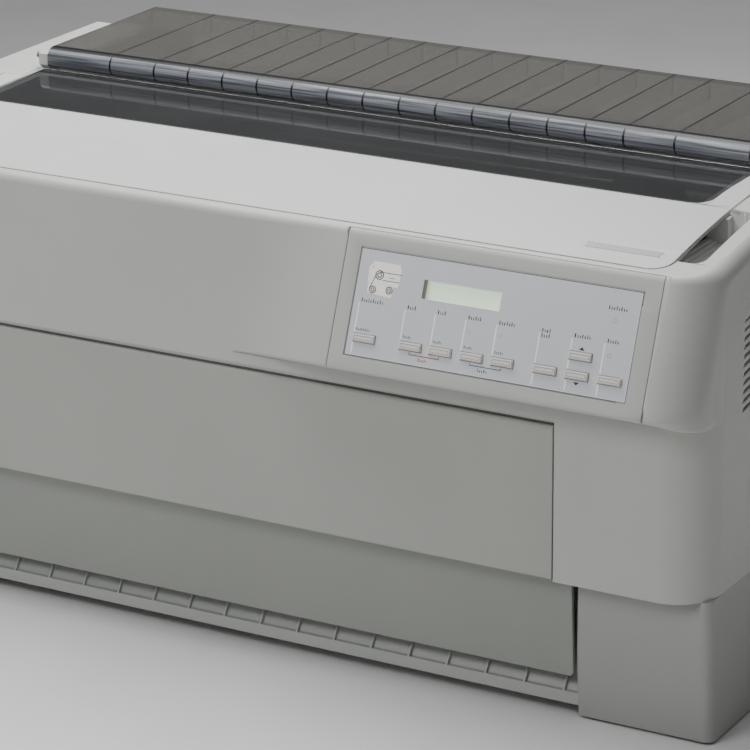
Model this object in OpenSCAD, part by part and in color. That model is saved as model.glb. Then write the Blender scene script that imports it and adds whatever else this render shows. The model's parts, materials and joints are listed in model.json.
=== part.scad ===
// Wide dot matrix printer with hinged covers, a control panel, a pin-feed paper
// path and its printing mechanism.  Millimetres.  X runs left to right as seen
// from the front, Y runs from the front to the back, Z runs up from the floor.

/* [Overall] */
// Width across the side walls
case_w = 700; // [620:1:800]
// Depth from the control bulge to the back wall
case_d = 382; // [350:1:430]
// Height from the floor to the top of the smoked rear cover
total_h = 363; // [340:1:400]
// Height of the two pedestals below the case
leg_h = 106; // [90:1:125]
// How far the smoked rear cover stands above the case top
rear_rise = 17.5; // [16:0.1:20]
// Wall thickness of the moulded case
wall = 3; // [2:0.1:4]

/* [Case] */
// How far the control bulge stands forward of the front face
bulge_out = 26.5; // [20:0.5:32]
// Drop of the crowned top from the flat part to the front joint
crown_drop = 16.5; // [12:0.5:20]
// Radius of the upright front corners of the case
front_r = 33; // [20:1:45]
// Radius of the upright rear corners
rear_r = 20; // [10:1:30]
// Radius of the upright corner of the control bulge
bulge_r = 50; // [30:1:60]
// Radius of the long top edges at both sides
side_r = 11; // [6:1:16]
// Radius where the fascia turns over into the top
brow_r = 7; // [4:0.5:9]
// Lean of the control panel back from upright, in degrees
panel_tilt = 21.3; // [15:0.1:28]
// Gap between outer panels and their openings
joint_gap = 0.8; // [0.4:0.1:1.2]

/* [Front covers] */
// Width of fixed front left at each side of the front cover
front_side = 108.7; // [104:0.5:130]
// Drop from the case top to the lower edge of the fascia
fascia_h = 125; // [122:0.5:130]
// Width of each pedestal
leg_w = 98.5; // [85:0.5:102]
// Bottom edge of the lower front panel above the floor
lower_panel_bottom = 31.4; // [25:0.2:40]

/* [Printer cover] */
// Width of case top left at each side of the printer cover
cover_side = 36.5; // [34:0.5:50]
// Depth of case top left in front of the printer cover
cover_step = 14.8; // [13:0.1:18]
// Radius of its two front corners
cover_r = 15; // [8:1:20]
// Width of cover left at each side of the smoked window
window_side = 19; // [18.2:0.1:26]
// Depth of the smoked window
window_d = 80.5; // [60:0.5:100]

/* [Rear cover] */
// Width of case top left at each side of the smoked rear cover
lid_side = 62; // [61:0.5:75]
// Thickness of its top sheet
lid_t = 2.5; // [2:0.1:3.5]
// Radius of the rounded nose
nose_r = 8; // [7.5:0.1:8.4]

/* [Mechanism] */
// Radius of the rubber platen
platen_r = 20; // [17:0.5:21]
// Place of the platen axis behind the middle, as a share of half the depth
platen_share = 0.3246; // [0.31:0.001:0.34]
// Drop from the case top to the platen axis
platen_drop = 53.5; // [50:0.5:60]
// Radius of the main guide shaft
guide_r = 7; // [5:0.5:8]
// Gear tooth size: pitch diameter per tooth
gear_module = 1.5; // [1:0.1:2]
// Radial running clearance of shafts in bores
run_gap = 0.05; // [0.02:0.01:0.1]

/* [Hidden] */
$fn = 64;
half_w = case_w/2;
half_d = case_d/2;
front_y = -half_d + bulge_out;
case_top = total_h - rear_rise;
platen_y = platen_share*half_d;
platen_z = case_top - platen_drop;
crown_y = platen_y - 67;
crown_end = front_y + 16.5;
fascia_bottom = case_top - fascia_h;
bulge_bottom = fascia_bottom + 7.5;
front_cover_hw = half_w - front_side;
front_cover_top = fascia_bottom - 4.9;
leg_in = half_w - leg_w;
lower_panel_hw = leg_in - 2.3;
cover_hw = half_w - cover_side;
cover_front = -front_y - cover_step;
window_hw = cover_hw - window_side;
lid_hw = half_w - lid_side;
// Everything on the panel keeps its place from the right side wall
panel_shift = half_w - 350;

// Height of the crowned case top at depth y
function top_z(y) = case_top - (y < crown_y
    ? crown_drop*pow((crown_y - y)/(crown_y - crown_end), 1.6) : 0);
function top_line(y0, y1, n, drop) =
    [for (i = [0:n]) let(y = y0 + (y1 - y0)*i/n) [y, top_z(y) - drop]];
function flip(v) = [for (i = [len(v) - 1:-1:0]) v[i]];
function arc(cx, cy, r, a0, a1, n) =
    [for (i = [0:n]) let(a = a0 + (a1 - a0)*i/n) [cx + r*cos(a), cy + r*sin(a)]];
function step(u) = u <= 0 ? 0 : u >= 1 ? 1 : u*u*(3 - 2*u);

// Control panel line: its foot, the unit vector up the face and the face normal
face_foot = [-half_d, bulge_bottom + 11.5];
up_y = sin(panel_tilt);
up_z = cos(panel_tilt);
brow_z = top_z(-half_d + 39.3) - brow_r;
brow_s = (brow_z - face_foot[1] + brow_r*up_y)/up_z;
brow_y = face_foot[0] + up_y*brow_s + up_z*brow_r;

// Extrude a drawing made in Y-Z along X
module along_x(x0, x1) {
    translate([x0, 0, 0]) rotate([90, 0, 90]) linear_extrude(x1 - x0) children();
}
// Extrude a drawing made in X-Z along Y
module along_y(y0, y1) {
    translate([0, y1, 0]) rotate([90, 0, 0]) linear_extrude(y1 - y0) children();
}
module upright(z0, z1) {
    translate([0, 0, z0]) linear_extrude(z1 - z0) children();
}
module box(x0, x1, y0, y1, z0, z1) {
    translate([x0, y0, z0]) cube([x1 - x0, y1 - y0, z1 - z0]);
}
module rod_x(x0, x1, y, z, r) {
    translate([x0, y, z]) rotate([0, 90, 0]) cylinder(h = x1 - x0, r = r);
}
module rod_y(x, y0, y1, z, r) {
    translate([x, y1, z]) rotate([90, 0, 0]) cylinder(h = y1 - y0, r = r);
}
module rod_z(x, y, z0, z1, r) {
    translate([x, y, z0]) cylinder(h = z1 - z0, r = r);
}
module both_sides() {
    children();
    mirror([1, 0, 0]) children();
}
// Rectangle with true round corners; r0 at the front pair, r1 at the back pair
module round_rect(x0, x1, y0, y1, r0, r1) {
    difference() {
        translate([x0, y0]) square([x1 - x0, y1 - y0]);
        for (c = [[x0, y0, 1, 1, r0], [x1, y0, -1, 1, r0],
                  [x0, y1, 1, -1, r1], [x1, y1, -1, -1, r1]])
            if (c[4] > 0) difference() {
                translate([c[0] + (c[2] > 0 ? -1 : -c[4]), c[1] + (c[3] > 0 ? -1 : -c[4])])
                    square(c[4] + 1);
                translate([c[0] + c[2]*c[4], c[1] + c[3]*c[4]]) circle(r = c[4]);
            }
    }
}

/* ---------------------------------------------------------------- case */

// Side view of the plain case; i insets every face
module case_side(i) {
    polygon(concat(
        [[front_y + i, leg_h - i], [front_y + i, fascia_bottom]],
        arc(brow_y, brow_z, brow_r - i, 180, 100, 8),
        top_line(brow_y + 1.5, crown_y, 18, i),
        [[half_d - 8, case_top - i]],
        arc(half_d - 8, case_top - 8, 8 - i, 90, 0, 6),
        [[half_d - i, leg_h - i]]));
}
// Depth the bulge body reaches back to inside the case
bulge_root = front_y + 34.5;
// Side view of the control bulge
module bulge_side(i) {
    foot = [face_foot[0] + i*1.28, face_foot[1] + i*0.52];
    polygon(concat(
        [[bulge_root, bulge_bottom + i*1.1], [front_y, bulge_bottom + i*1.1],
         [foot[0] + 2.0, foot[1] - 0.95], [foot[0] + 0.75, foot[1] - 0.1],
         [foot[0] + 0.55, foot[1] + 1.4]],
        arc(brow_y, brow_z, brow_r - i, 180 - panel_tilt, 100, 7),
        top_line(brow_y + 1.5, bulge_root, 3, i)));
}
// Front view: the long top edges are rounded
module case_front(i) {
    union() {
        translate([-half_w + i, leg_h - 4]) square([case_w - 2*i, case_top - leg_h + 4 - side_r]);
        translate([-half_w + side_r, leg_h - 4])
            square([case_w - 2*side_r, case_top - i - leg_h + 4]);
        // the hollow has flats in its corners, the outside true rounds
        for (s = [-1, 1]) translate([s*(half_w - side_r), case_top - side_r])
            circle(r = side_r - i, $fn = i > 0 ? 12 : $fn);
    }
}
// The rounded edge follows the crown: a second copy lies on this slope
slope_y = crown_y - 40;
slope_a = atan((case_top + 0.2 - top_z(crown_end) - 0.8)/(slope_y - crown_end));
module shell_limits(i) {
    intersection() {
        along_y(-half_d - 30, half_d + 30) case_front(i);
        translate([0, slope_y, case_top + 0.2]) rotate([slope_a, 0, 0])
            translate([0, 0, -case_top]) along_y(-2*half_d, 2*half_d) union() {
                case_front(i);
                translate([-half_w + i, -leg_h]) square([case_w - 2*i, 3*leg_h]);
            }
    }
}
module case_plan(i) {
    round_rect(-half_w + i, half_w - i, front_y + i, half_d - i, front_r - i, rear_r - i);
}
bulge_x0 = panel_shift - 5;
panel_x0 = panel_shift + 85.4;
panel_x1 = panel_shift + 316.5;
module bulge_plan(i) {
    polygon(concat(
        [for (k = [0:14]) let(x = bulge_x0 + (panel_x0 - bulge_x0)*k/14)
            [x + i, front_y + i - bulge_out*step(k/14)]],
        arc(half_w - bulge_r, -half_d + bulge_r, bulge_r - i, -90, 0, 12),
        [[half_w - i, bulge_root - 5], [bulge_x0 + i, bulge_root - 5]]));
}
module case_solid(i) {
    intersection() {
        union() {
            intersection() {
                upright(leg_h - i, case_top + 2) case_plan(i);
                along_x(-half_w, half_w) case_side(i);
            }
            intersection() {
                upright(bulge_bottom - 2, case_top) bulge_plan(i);
                along_x(bulge_x0, half_w) bulge_side(i);
            }
        }
        shell_limits(i);
    }
}

// Printer cover outline, grown by g for the opening it sits in
cover_back = platen_y - 45;
tongue_hw = cover_hw - 16;
tongue_back = platen_y - 24.7;
bridge_y = platen_y - 21;
pivot_y = platen_y - 42;
pivot_z = case_top - 4.5;
module cover_plan(g, back) {
    round_rect(-cover_hw - g, cover_hw + g, -cover_front - g, cover_back + g, cover_r + g, 0);
    translate([-tongue_hw - g, -20]) square([2*(tongue_hw + g), back + 20]);
}
module lid_opening(g) {
    round_rect(-lid_hw + 6 - g, lid_hw - 6 + g, bridge_y + 13 - g, half_d - 13 + g, 8 + g, 8 + g);
}
// Finger recess beside the right edge of the printer cover
recess_x = cover_hw + 14;
module recess_plan(g) {
    round_rect(cover_hw - 30, recess_x + g, front_y + 30.5 - g, front_y + 114.5 + g, 9, 9);
}
rim_t = 2.5;
rim_drop = 42;
lid_rim_drop = 20;
vent_rows = 11;
vent_pitch = 6.16;
vent_z = case_top - 119.3;
vent_y = front_y + 58.5;
module vents() {
    for (k = [0:vent_rows - 1]) for (c = [0:2])
        translate([0, vent_y + c*29, vent_z + k*vent_pitch])
            along_x(half_w - wall - 1, half_w + 1)
                polygon([[0, -1.2], [22, 1.6], [24, 4.6], [2, 1.8]]);
}
inlet_x = -half_w + 88;
inlet_z = leg_h + 44;
switch_x = inlet_x + 34;
bay_deep = 5;
bay_y = half_d - bay_deep;
module bay(g, y0, y1) {
    box(inlet_x - 21 - g, switch_x + 17 + g, y0, y1, inlet_z - 19 - g, inlet_z + 19 + g);
}
ports_x = half_w - 160;
ports_z = inlet_z;
ports_w = 150;
ports_h = 44;
screw_xs = [-half_w + 50, -100, 60, half_w - 40];
screw_z = leg_h + 11;
screw_r = 2;
head_r = 4;
head_t = 2.2;
front_pin_y = front_y + 6;
front_pin_z = leg_h + 5.5;
front_pin_r = 2.5;
module main_case() {
    color([0.72, 0.72, 0.71]) difference() {
        union() {
            difference() {
                case_solid(0);
                difference() {
                    case_solid(wall);
                    // rims that hang down round the top openings
                    for (d = [rim_drop, lid_rim_drop]) upright(case_top - d, case_top + 2) difference() {
                        cover_plan(joint_gap + rim_t, bridge_y + rim_t);
                        cover_plan(joint_gap, bridge_y);
                        // the deep rim stops short of the side frames and gears
                        if (d > lid_rim_drop) translate([-half_w, bridge_y - 5]) square([case_w, 40]);
                    }
                    upright(case_top - lid_rim_drop, case_top + 2) difference() {
                        lid_opening(rim_t);
                        lid_opening(0);
                    }
                    // bay for the power inlet in the back wall
                    bay(wall, bay_y - wall, half_d);
                    // finger recess tub
                    upright(case_top - 34, case_top + 2) recess_plan(rim_t);
                    // inward lip along the bottom edge at both sides of the front cover
                    both_sides() box(front_cover_hw + 1.3, half_w, front_y, pan_front - 0.6,
                        leg_h - 4, leg_h + 2.4);
                    // ears that carry the front cover pins
                    both_sides() box(front_cover_hw + 1.3, front_cover_hw + 4.6, front_y,
                        front_y + 14, leg_h - 4, leg_h + 16);
                }
            }
        }
        // top opening and the recess beside it
        upright(case_top - rim_drop - 1, case_top + 20) cover_plan(joint_gap, bridge_y);
        upright(case_top - 34 + rim_t, case_top + 20) recess_plan(0);
        // opening under the rear cover, with the notch where paper enters
        upright(case_top - rim_drop - 1, case_top + 20) lid_opening(0);
        box(-lid_hw + 33, lid_hw - 33, half_d - 21, half_d + 1, case_top - 26, case_top + 5);
        // front cover opening with its chamfered upper edge
        along_x(-front_cover_hw - 1, front_cover_hw + 1)
            polygon([[front_y - 2, leg_h - 6], [front_y - 2, fascia_bottom + 2.5],
                     [front_y, fascia_bottom], [front_y + wall + 0.5, fascia_bottom - 4.2],
                     [front_y + wall + 0.5, leg_h - 6]]);
        // control panel opening
        along_x(panel_x0 - 0.5, panel_x1 + 0.5)
            polygon([[-half_d - 10, bulge_bottom], [brow_y - 3.2, bulge_bottom],
                     [brow_y - 3.2, case_top + 5], [-half_d - 10, case_top + 5]]);
        vents();
        // bores for the hinge pins
        rod_x(-tongue_hw - 6, tongue_hw + 6, pivot_y, pivot_z, 2.25);
        rod_x(-front_cover_hw - 6, front_cover_hw + 6, front_pin_y, front_pin_z,
            front_pin_r + run_gap);
        // back wall openings
        bay(0, bay_y, half_d + 1);
        box(inlet_x - 14, inlet_x + 14, bay_y - wall - 1, half_d + 1, inlet_z - 10, inlet_z + 10);
        box(switch_x - 10.3, switch_x + 10.3, bay_y - wall - 1, half_d + 1,
            inlet_z - 7.3, inlet_z + 7.3);
        box(ports_x - ports_w/2, ports_x + ports_w/2, half_d - wall - 1, half_d + 1,
            ports_z - ports_h/2, ports_z + ports_h/2);
        for (x = screw_xs) {
            rod_y(x, half_d - wall - 1, half_d + 1, screw_z, screw_r + 0.15);
            rod_y(x, half_d - head_t, half_d + 1, screw_z, head_r + 0.15);
        }
    }
}

/* ------------------------------------------------------ pedestals and base */

leg_front_top = front_y + 14;
leg_front_foot = front_y + 22.8;
leg_back = half_d - 9;
leg_lift = 2;
pad_r = 10;
module leg_outer(i) {
    intersection() {
        upright(leg_lift - i, leg_h - i) round_rect(leg_in + i, half_w - i,
            leg_front_top + i, leg_back - i, 7 - i, 7 - i);
        along_x(leg_in, half_w) polygon([[leg_front_foot + i, leg_lift - i - 1],
            [leg_front_top + i, leg_h], [leg_back, leg_h], [leg_back, leg_lift - i - 1]]);
    }
}
function pads() = [[leg_in + 18, leg_front_foot + 20], [half_w - 18, leg_front_foot + 20],
                   [leg_in + 18, leg_back - 18], [half_w - 18, leg_back - 18]];
module pedestal() {
    difference() {
        union() {
            difference() {
                leg_outer(0);
                leg_outer(wall);
            }
            for (p = pads()) rod_z(p[0], p[1], leg_lift + 2, leg_h - 1, 13);
            // stiffening webs
            for (y = [-70, 10, 90]) box(leg_in + 1, half_w - 1, y, y + 2.4, 30, leg_h - 1);
        }
        for (p = pads()) {
            rod_z(p[0], p[1], -1, leg_lift + 2, pad_r + 0.4);
            rod_z(p[0], p[1], leg_lift, 14, 3.5 + run_gap);
        }
    }
}
module right_pedestal() { color([0.5, 0.5, 0.49]) pedestal(); }
module left_pedestal() { color([0.5, 0.5, 0.49]) mirror([1, 0, 0]) pedestal(); }
module rubber_feet() {
    color([0.15, 0.15, 0.15]) both_sides() for (p = pads()) {
        rod_z(p[0], p[1], 0, leg_lift + 2, pad_r);
        rod_z(p[0], p[1], leg_lift + 1, 12, 3.5);
    }
}
pan_t = 2;
pan_front = front_y + 18.5;
pan_back = half_d - wall - 0.4;
pan_hw = half_w - wall - 0.4;
flange_h = 17;
board_z = leg_h + 10;
board_x0 = -60;
board_x1 = half_w - 150;
board_y0 = half_d - 171;
board_y1 = half_d - 41;
module base_pan() {
    color([0.7, 0.71, 0.72]) difference() {
        intersection() {
            union() {
                box(-pan_hw, pan_hw, pan_front, pan_back, leg_h, leg_h + pan_t);
                box(-pan_hw, pan_hw, pan_back - pan_t, pan_back, leg_h, leg_h + flange_h);
                both_sides() box(pan_hw - pan_t, pan_hw, pan_front + 30, pan_back,
                    leg_h, leg_h + flange_h);
                // standoffs pressed into the pan for the circuit board
                for (x = [board_x0 + 10, board_x1 - 10]) for (y = [board_y0 + 10, board_y1 - 10])
                    rod_z(x, y, leg_h, board_z, 3);
            }
            // corners clear the rounded corners of the case
            upright(leg_h - 1, leg_h + flange_h + 1)
                round_rect(-pan_hw, pan_hw, pan_front, pan_back, 14, 18);
        }
        // slot the paper comes up through
        box(-lower_panel_hw + 39, lower_panel_hw - 39, slot_y0, slot_y1, leg_h - 1, leg_h + pan_t + 1);
        for (x = screw_xs) rod_y(x, pan_back - pan_t - 1, pan_back + 1, screw_z, screw_r + run_gap);
    }
}
slot_y0 = front_y + 31.5;
slot_y1 = front_y + 39.5;
module case_screws() {
    color([0.75, 0.75, 0.76]) for (x = screw_xs) difference() {
        union() {
            rod_y(x, half_d - 11, half_d - 1, screw_z, screw_r);
            rod_y(x, half_d - head_t, half_d - 0.1, screw_z, head_r);
        }
        box(x - 2.4, x + 2.4, half_d - 1.2, half_d + 1, screw_z - 0.5, screw_z + 0.5);
        box(x - 0.5, x + 0.5, half_d - 1.2, half_d + 1, screw_z - 2.4, screw_z + 2.4);
    }
}

/* ------------------------------------------------------ front covers */

module front_cover() {
    t = 3;
    in_y = front_y + t;
    zb = leg_h + 1.2;
    zt = front_cover_top;
    rib_step = front_cover_hw*0.273;
    color([0.66, 0.66, 0.65]) union() {
        along_x(-front_cover_hw, front_cover_hw)
            polygon([[front_y, zb + 0.6], [front_y + 0.6, zb], [in_y, zb], [in_y, zt],
                     [front_y + 1.6, zt], [front_y + 0.5, zt - 0.4], [front_y, zt - 1.6]]);
        // flange behind the top edge and the two side edges
        box(-front_cover_hw + 5, front_cover_hw - 5, in_y - 0.5, in_y + 6, zt - 6.5, zt - 4);
        both_sides() box(front_cover_hw - 7, front_cover_hw - 4.5, in_y - 0.5, in_y + 6, zb + 14, zt - 4);
        // stiffening ribs on the inside
        for (k = [-3:3]) box(k*rib_step - 1, k*rib_step + 1, in_y - 0.5, in_y + 5, zb + 12, zt - 4);
        // knuckles and pins, moulded on
        both_sides() {
            along_x(front_cover_hw - 8, front_cover_hw) union() {
                translate([front_pin_y, front_pin_z]) circle(r = 4.2);
                polygon([[in_y - 0.5, front_pin_z - 3.6], [front_pin_y, front_pin_z - 4],
                         [front_pin_y, front_pin_z + 4.1], [in_y - 0.5, front_pin_z + 7]]);
            }
            rod_x(front_cover_hw - 4, front_cover_hw + 4.4, front_pin_y, front_pin_z, front_pin_r);
        }
    }
}
module lower_panel() {
    yt = leg_front_top;
    yb = leg_front_foot - 4.4;
    zt = leg_h - 2;
    zb = lower_panel_bottom;
    color([0.5, 0.5, 0.49]) union() {
        intersection() {
            along_x(-lower_panel_hw, lower_panel_hw)
                polygon([[yb + 0.4, zb], [yb, zb + 1], [yt, zt], [yt + 3, zt], [yb + 3, zb]]);
            along_y(yt - 5, yb + 10) union() {
                translate([-lower_panel_hw, zb + 4]) square([2*lower_panel_hw, zt - zb]);
                translate([-lower_panel_hw + 4, zb - 1]) square([2*lower_panel_hw - 8, 30]);
                for (s = [-1, 1]) translate([s*(lower_panel_hw - 4), zb + 4]) circle(r = 4);
            }
        }
        // fixing flange up against the base pan
        box(-lower_panel_hw + 6, lower_panel_hw - 6, yt + 1, slot_y0 - 1, zt - 1, leg_h);
    }
}
tray_front = leg_front_foot - 1;
tray_hw = leg_in;
tray_pitch = tray_hw*0.11928;
// Path of the paper guide, from its front lip up into the machine
tray_path = [[tray_front, 18.2], [tray_front + 6.6, 28.4], [tray_front + 11, 38],
             [tray_front + 13.5, 50], [tray_front + 14.5, 66], [tray_front + 15, leg_h]];
module paper_tray() {
    sheet_back = [for (p = flip(tray_path)) [p[0] + 6.5, p[1] == leg_h ? leg_h : p[1] - 1.5]];
    color([0.46, 0.46, 0.45]) union() {
        // guide sheet
        along_x(-tray_hw, tray_hw) polygon(concat(
            [[tray_front, 9.6], [tray_front, 18.2], [tray_front + 3.2, 18.2]],
            [for (k = [1:5]) let(p = tray_path[k]) [p[0] + 3, k == 5 ? leg_h : p[1] - 1]],
            sheet_back, [[tray_front + 9, 9.6]]));
        // ribs the paper slides on
        for (k = [-8:8]) along_x(k*tray_pitch - 0.7, k*tray_pitch + 0.7) polygon(concat(
            [for (k = [0:5]) [tray_path[k][0], tray_path[k][1] - (k == 5 ? 1 : 0)]],
            [for (p = flip(tray_path)) [p[0] + 5, p[1] - 1.2]]));
        // foot flange behind the lip
        box(-tray_hw, tray_hw, tray_front + 4, tray_front + 40, 9.6, 12);
    }
}

/* ------------------------------------------------------ printer cover */

window_back = platen_y - 27.8;
window_front = window_d - window_back;
window_drop = 2.1;
pane_t = 2.8;
// Top line of the flat pane
function pane_z(y) = case_top - window_drop*(window_back - y)/(window_back + window_front);
module cover_band(y0, y1, d0, d1, n) {
    polygon(concat(top_line(y0, y1, n, d0), flip(top_line(y0, y1, n, d1))));
}
module printer_cover() {
    skirt = 12;
    skirt_in = 1.5;
    color([0.78, 0.78, 0.77]) difference() {
        union() {
            intersection() {
                upright(case_top - 60, case_top + 5) cover_plan(0, tongue_back);
                along_x(-cover_hw, cover_hw) cover_band(-cover_front, tongue_back, 0, 3, 24);
            }
            // skirt below the edge
            intersection() {
                upright(case_top - 60, case_top + 5) difference() {
                    cover_plan(-skirt_in, tongue_back);
                    cover_plan(-skirt_in - 2.5, tongue_back);
                }
                along_x(-cover_hw, cover_hw) cover_band(-cover_front, tongue_back, 1, skirt, 24);
            }
            // frame under the window
            intersection() {
                upright(case_top - 60, case_top + 5) difference() {
                    translate([-tongue_hw, -window_front - 6])
                        square([2*tongue_hw, window_front + 6 + tongue_back]);
                    translate([-window_hw + 6, -window_front + 5])
                        square([2*window_hw - 12, window_front + 23]);
                }
                along_x(-cover_hw, cover_hw) cover_band(-window_front - 6, tongue_back, 2, 6.5, 12);
            }
            // hinge pins
            both_sides() rod_x(tongue_hw - 2, tongue_hw + 4.2, pivot_y, pivot_z, 2.2);
        }
        // rebate for the pane and the tear-off bar
        along_x(-window_hw - 0.4, window_hw + 0.4)
            polygon([[-window_front - 0.4, pane_z(-window_front - 0.4) - pane_t],
                     [window_back + 0.3, pane_z(window_back + 0.3) - pane_t],
                     [window_back + 0.3, case_top + 5], [-window_front - 0.4, case_top + 5]]);
        box(-tongue_hw - 1, tongue_hw + 1, window_back + 0.2, tongue_back + 1,
            case_top - pane_t, case_top + 5);
        translate([-window_hw + 6, -window_front + 5, case_top - 30])
            cube([2*window_hw - 12, window_front + 23, 40]);
        // undercut back edges of the side margins
        both_sides() along_x(tongue_hw, cover_hw + 1)
            polygon([[cover_back, case_top], [cover_back - 14, case_top - 12],
                     [cover_back - 14, case_top - 15], [cover_back + 5, case_top - 15],
                     [cover_back + 5, case_top]]);
        // seat for the badge
        badge_shape(0.15, 0.6);
    }
}
badge_x0 = cover_hw - 67;
badge_x1 = cover_hw - 12;
badge_y0 = front_y + 31.5;
badge_y1 = front_y + 38.5;
module badge_shape(g, t) {
    a = atan((top_z(badge_y1) - top_z(badge_y0))/(badge_y1 - badge_y0));
    translate([(badge_x0 + badge_x1)/2, (badge_y0 + badge_y1)/2,
               top_z((badge_y0 + badge_y1)/2) - t]) rotate([a, 0, 0])
        linear_extrude(t + (g > 0 ? 1 : 0.15))
            polygon([[-27.5 - g, -3.6 - g], [25.8 + g, -3.6 - g],
                     [27.5 + g, 3.6 + g], [-25.8 - g, 3.6 + g]]);
}
module badge_plate() { color([0.8, 0.8, 0.8]) badge_shape(0, 0.6); }
module cover_window() {
    color([0.25, 0.24, 0.23, 0.8]) along_x(-window_hw, window_hw)
        polygon([[-window_front, pane_z(-window_front) - pane_t], [-window_front,
                 pane_z(-window_front)], [window_back, pane_z(window_back)],
                 [window_back, pane_z(window_back) - pane_t]]);
}
module tear_off_bar() {
    y0 = window_back + 0.4;
    z0 = case_top - pane_t;
    color([0.85, 0.85, 0.85]) along_x(-tongue_hw + 0.6, tongue_hw - 0.6)
        polygon([[y0, z0], [tongue_back - 0.2, z0], [tongue_back - 0.2, z0 + 1.2],
                 [y0 + 1.4, z0 + 1.2], [y0 + 1.4, z0 + 4.2], [y0 + 0.8, z0 + 4.9],
                 [y0, z0 + 4.9]]);
}

/* ------------------------------------------------------ rear cover */

nose_y = platen_y - 18;
nose_z = total_h - nose_r;
lid_back = half_d - 4;
rib_back = half_d - 11;
rib_pitch = lid_hw*0.103125;
lid_pin_r = 2.5;
rib_bottom = nose_z - nose_r + 0.4;
function rib_xs() = concat([-lid_hw*0.8056, lid_hw*0.8056], [for (k = [0:13]) (k - 6.5)*rib_pitch]);
module rear_cover() {
    color([0.3, 0.3, 0.29, 0.75]) union() {
        box(-lid_hw, lid_hw, nose_y, lid_back, total_h - lid_t, total_h);
        // rounded nose
        along_x(-lid_hw, lid_hw) difference() {
            translate([nose_y, nose_z]) circle(r = nose_r);
            translate([nose_y, nose_z]) circle(r = nose_r - lid_t);
            translate([nose_y, nose_z - 20]) square([20, 40]);
        }
        // ribs and end walls
        for (x = concat(rib_xs(), [-lid_hw + 0.9, lid_hw - 0.9])) along_x(x - 0.9, x + 0.9) union() {
            translate([nose_y, rib_bottom]) square([rib_back - nose_y, total_h - 1 - rib_bottom]);
            intersection() {
                translate([nose_y, nose_z]) circle(r = nose_r - 1);
                translate([nose_y - 20, nose_z - 20]) square([20.5, 40]);
            }
        }
        // rest pads under the back corners
        both_sides() box(lid_hw - 5, lid_hw, lid_back - 29, lid_back - 11, case_top + 0.1, rib_bottom + 1);
        both_sides() rod_x(lid_hw - 3, lid_hw + 13.5, nose_y, nose_z, lid_pin_r);
    }
}
module hinge_bosses() {
    x0 = lid_hw + 0.6;
    color([0.76, 0.76, 0.75]) both_sides() difference() {
        along_x(x0, x0 + 7.8) union() {
            polygon([[bridge_y + 0.6, case_top], [nose_y - 7, case_top + 4.2],
                     [nose_y - 7, nose_z + 3], [nose_y - 4, nose_z + 6],
                     [nose_y + 4, nose_z + 6], [nose_y + 7, nose_z + 3],
                     [nose_y + 9, case_top]]);
        }
        rod_x(x0 - 1, x0 + 9, nose_y, nose_z, lid_pin_r + run_gap);
    }
}

/* ------------------------------------------------------ control panel */

face_org = [face_foot[0] + 10.4*up_y, face_foot[1] + 10.4*up_z];
face_a = 90 - panel_tilt;
// Children drawn with X across, Y up the face and Z out of the face
module on_panel() {
    translate([panel_shift, face_org[0], face_org[1]]) rotate([face_a, 0, 0]) children();
}
overlay_x0 = 96.8;
overlay_x1 = 304.2;
overlay_h = 72.4;
overlay_t = 0.8;
lcd = [147.0, 45.0, 204.6, 57.6];
// Each key: left edge, right edge, middle up the face
keys = [[101.6, 118.4, 12.6], [136.8, 153.4, 12.4], [159.2, 175.8, 12.4],
        [182.3, 198.9, 12.4], [205.0, 221.4, 12.4], [235.8, 252.6, 12.6],
        [259.4, 275.8, 25.0], [259.0, 275.6, 12.4], [282.4, 299.2, 12.6]];
key_h = 5.4;
key_gap = 0.35;
key_proud = 2;
key_travel = 1;
led_r = 1.2;
leds = [[185.2, 28.5], [208.3, 29.2], [287.6, 51.4], [287.4, 28.7]];
module key_holes(t0, t1, g) {
    for (k = keys) translate([k[0] - g, k[2] - key_h/2 - g, t0])
        cube([k[1] - k[0] + 2*g, key_h + 2*g, t1 - t0]);
}
module led_holes(t0, t1, r) {
    for (p = leds) translate([p[0], p[1], t0]) cylinder(h = t1 - t0, r = r, $fn = 24);
}
module panel_bezel() {
    color([0.74, 0.74, 0.73]) difference() {
        union() {
            intersection() {
                along_x(panel_x0, panel_x1) difference() {
                    bulge_side(0);
                    bulge_side(wall);
                    translate([brow_y - 3.7, bulge_bottom + 50]) square([60, 100]);
                    translate([front_y - 0.5, bulge_bottom - 10]) square([60, 60]);
                }
                upright(bulge_bottom - 5, case_top) bulge_plan(0);
            }
            for (x = [panel_x0, panel_x1 - 2.4]) intersection() {
                along_x(x, x + 2.4) difference() {
                    bulge_side(1);
                    translate([brow_y - 6, bulge_bottom + 50]) square([60, 100]);
                    translate([front_y - 1, bulge_bottom - 10]) square([60, 90]);
                }
                upright(bulge_bottom - 5, case_top) bulge_plan(1);
            }
            // screw bosses for the circuit board behind
            on_panel() for (x = [90.5, 310.5]) for (v = [16, 54])
                translate([x, v, -11.6]) cylinder(h = 10, r = 2.4, $fn = 24);
        }
        on_panel() {
            translate([overlay_x0 - 0.5, -0.5, -overlay_t])
                cube([overlay_x1 - overlay_x0 + 1, overlay_h + 1, 5]);
            key_holes(-8, 2, key_gap);
            led_holes(-8, 2, led_r + 0.15);
            translate([lcd[0] - 1, lcd[1] - 1, -8]) cube([lcd[2] - lcd[0] + 2, lcd[3] - lcd[1] + 2, 10]);
        }
    }
}
module panel_overlay() {
    color([0.68, 0.71, 0.73]) on_panel() difference() {
        translate([0, 0, -overlay_t]) linear_extrude(overlay_t + 0.05)
            round_rect(overlay_x0, overlay_x1, 0, overlay_h, 2, 2);
        key_holes(-2, 2, key_gap);
        led_holes(-2, 2, led_r + 0.15);
        translate([lcd[0], lcd[1], -2]) cube([lcd[2] - lcd[0], lcd[3] - lcd[1], 4]);
    }
}
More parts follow.
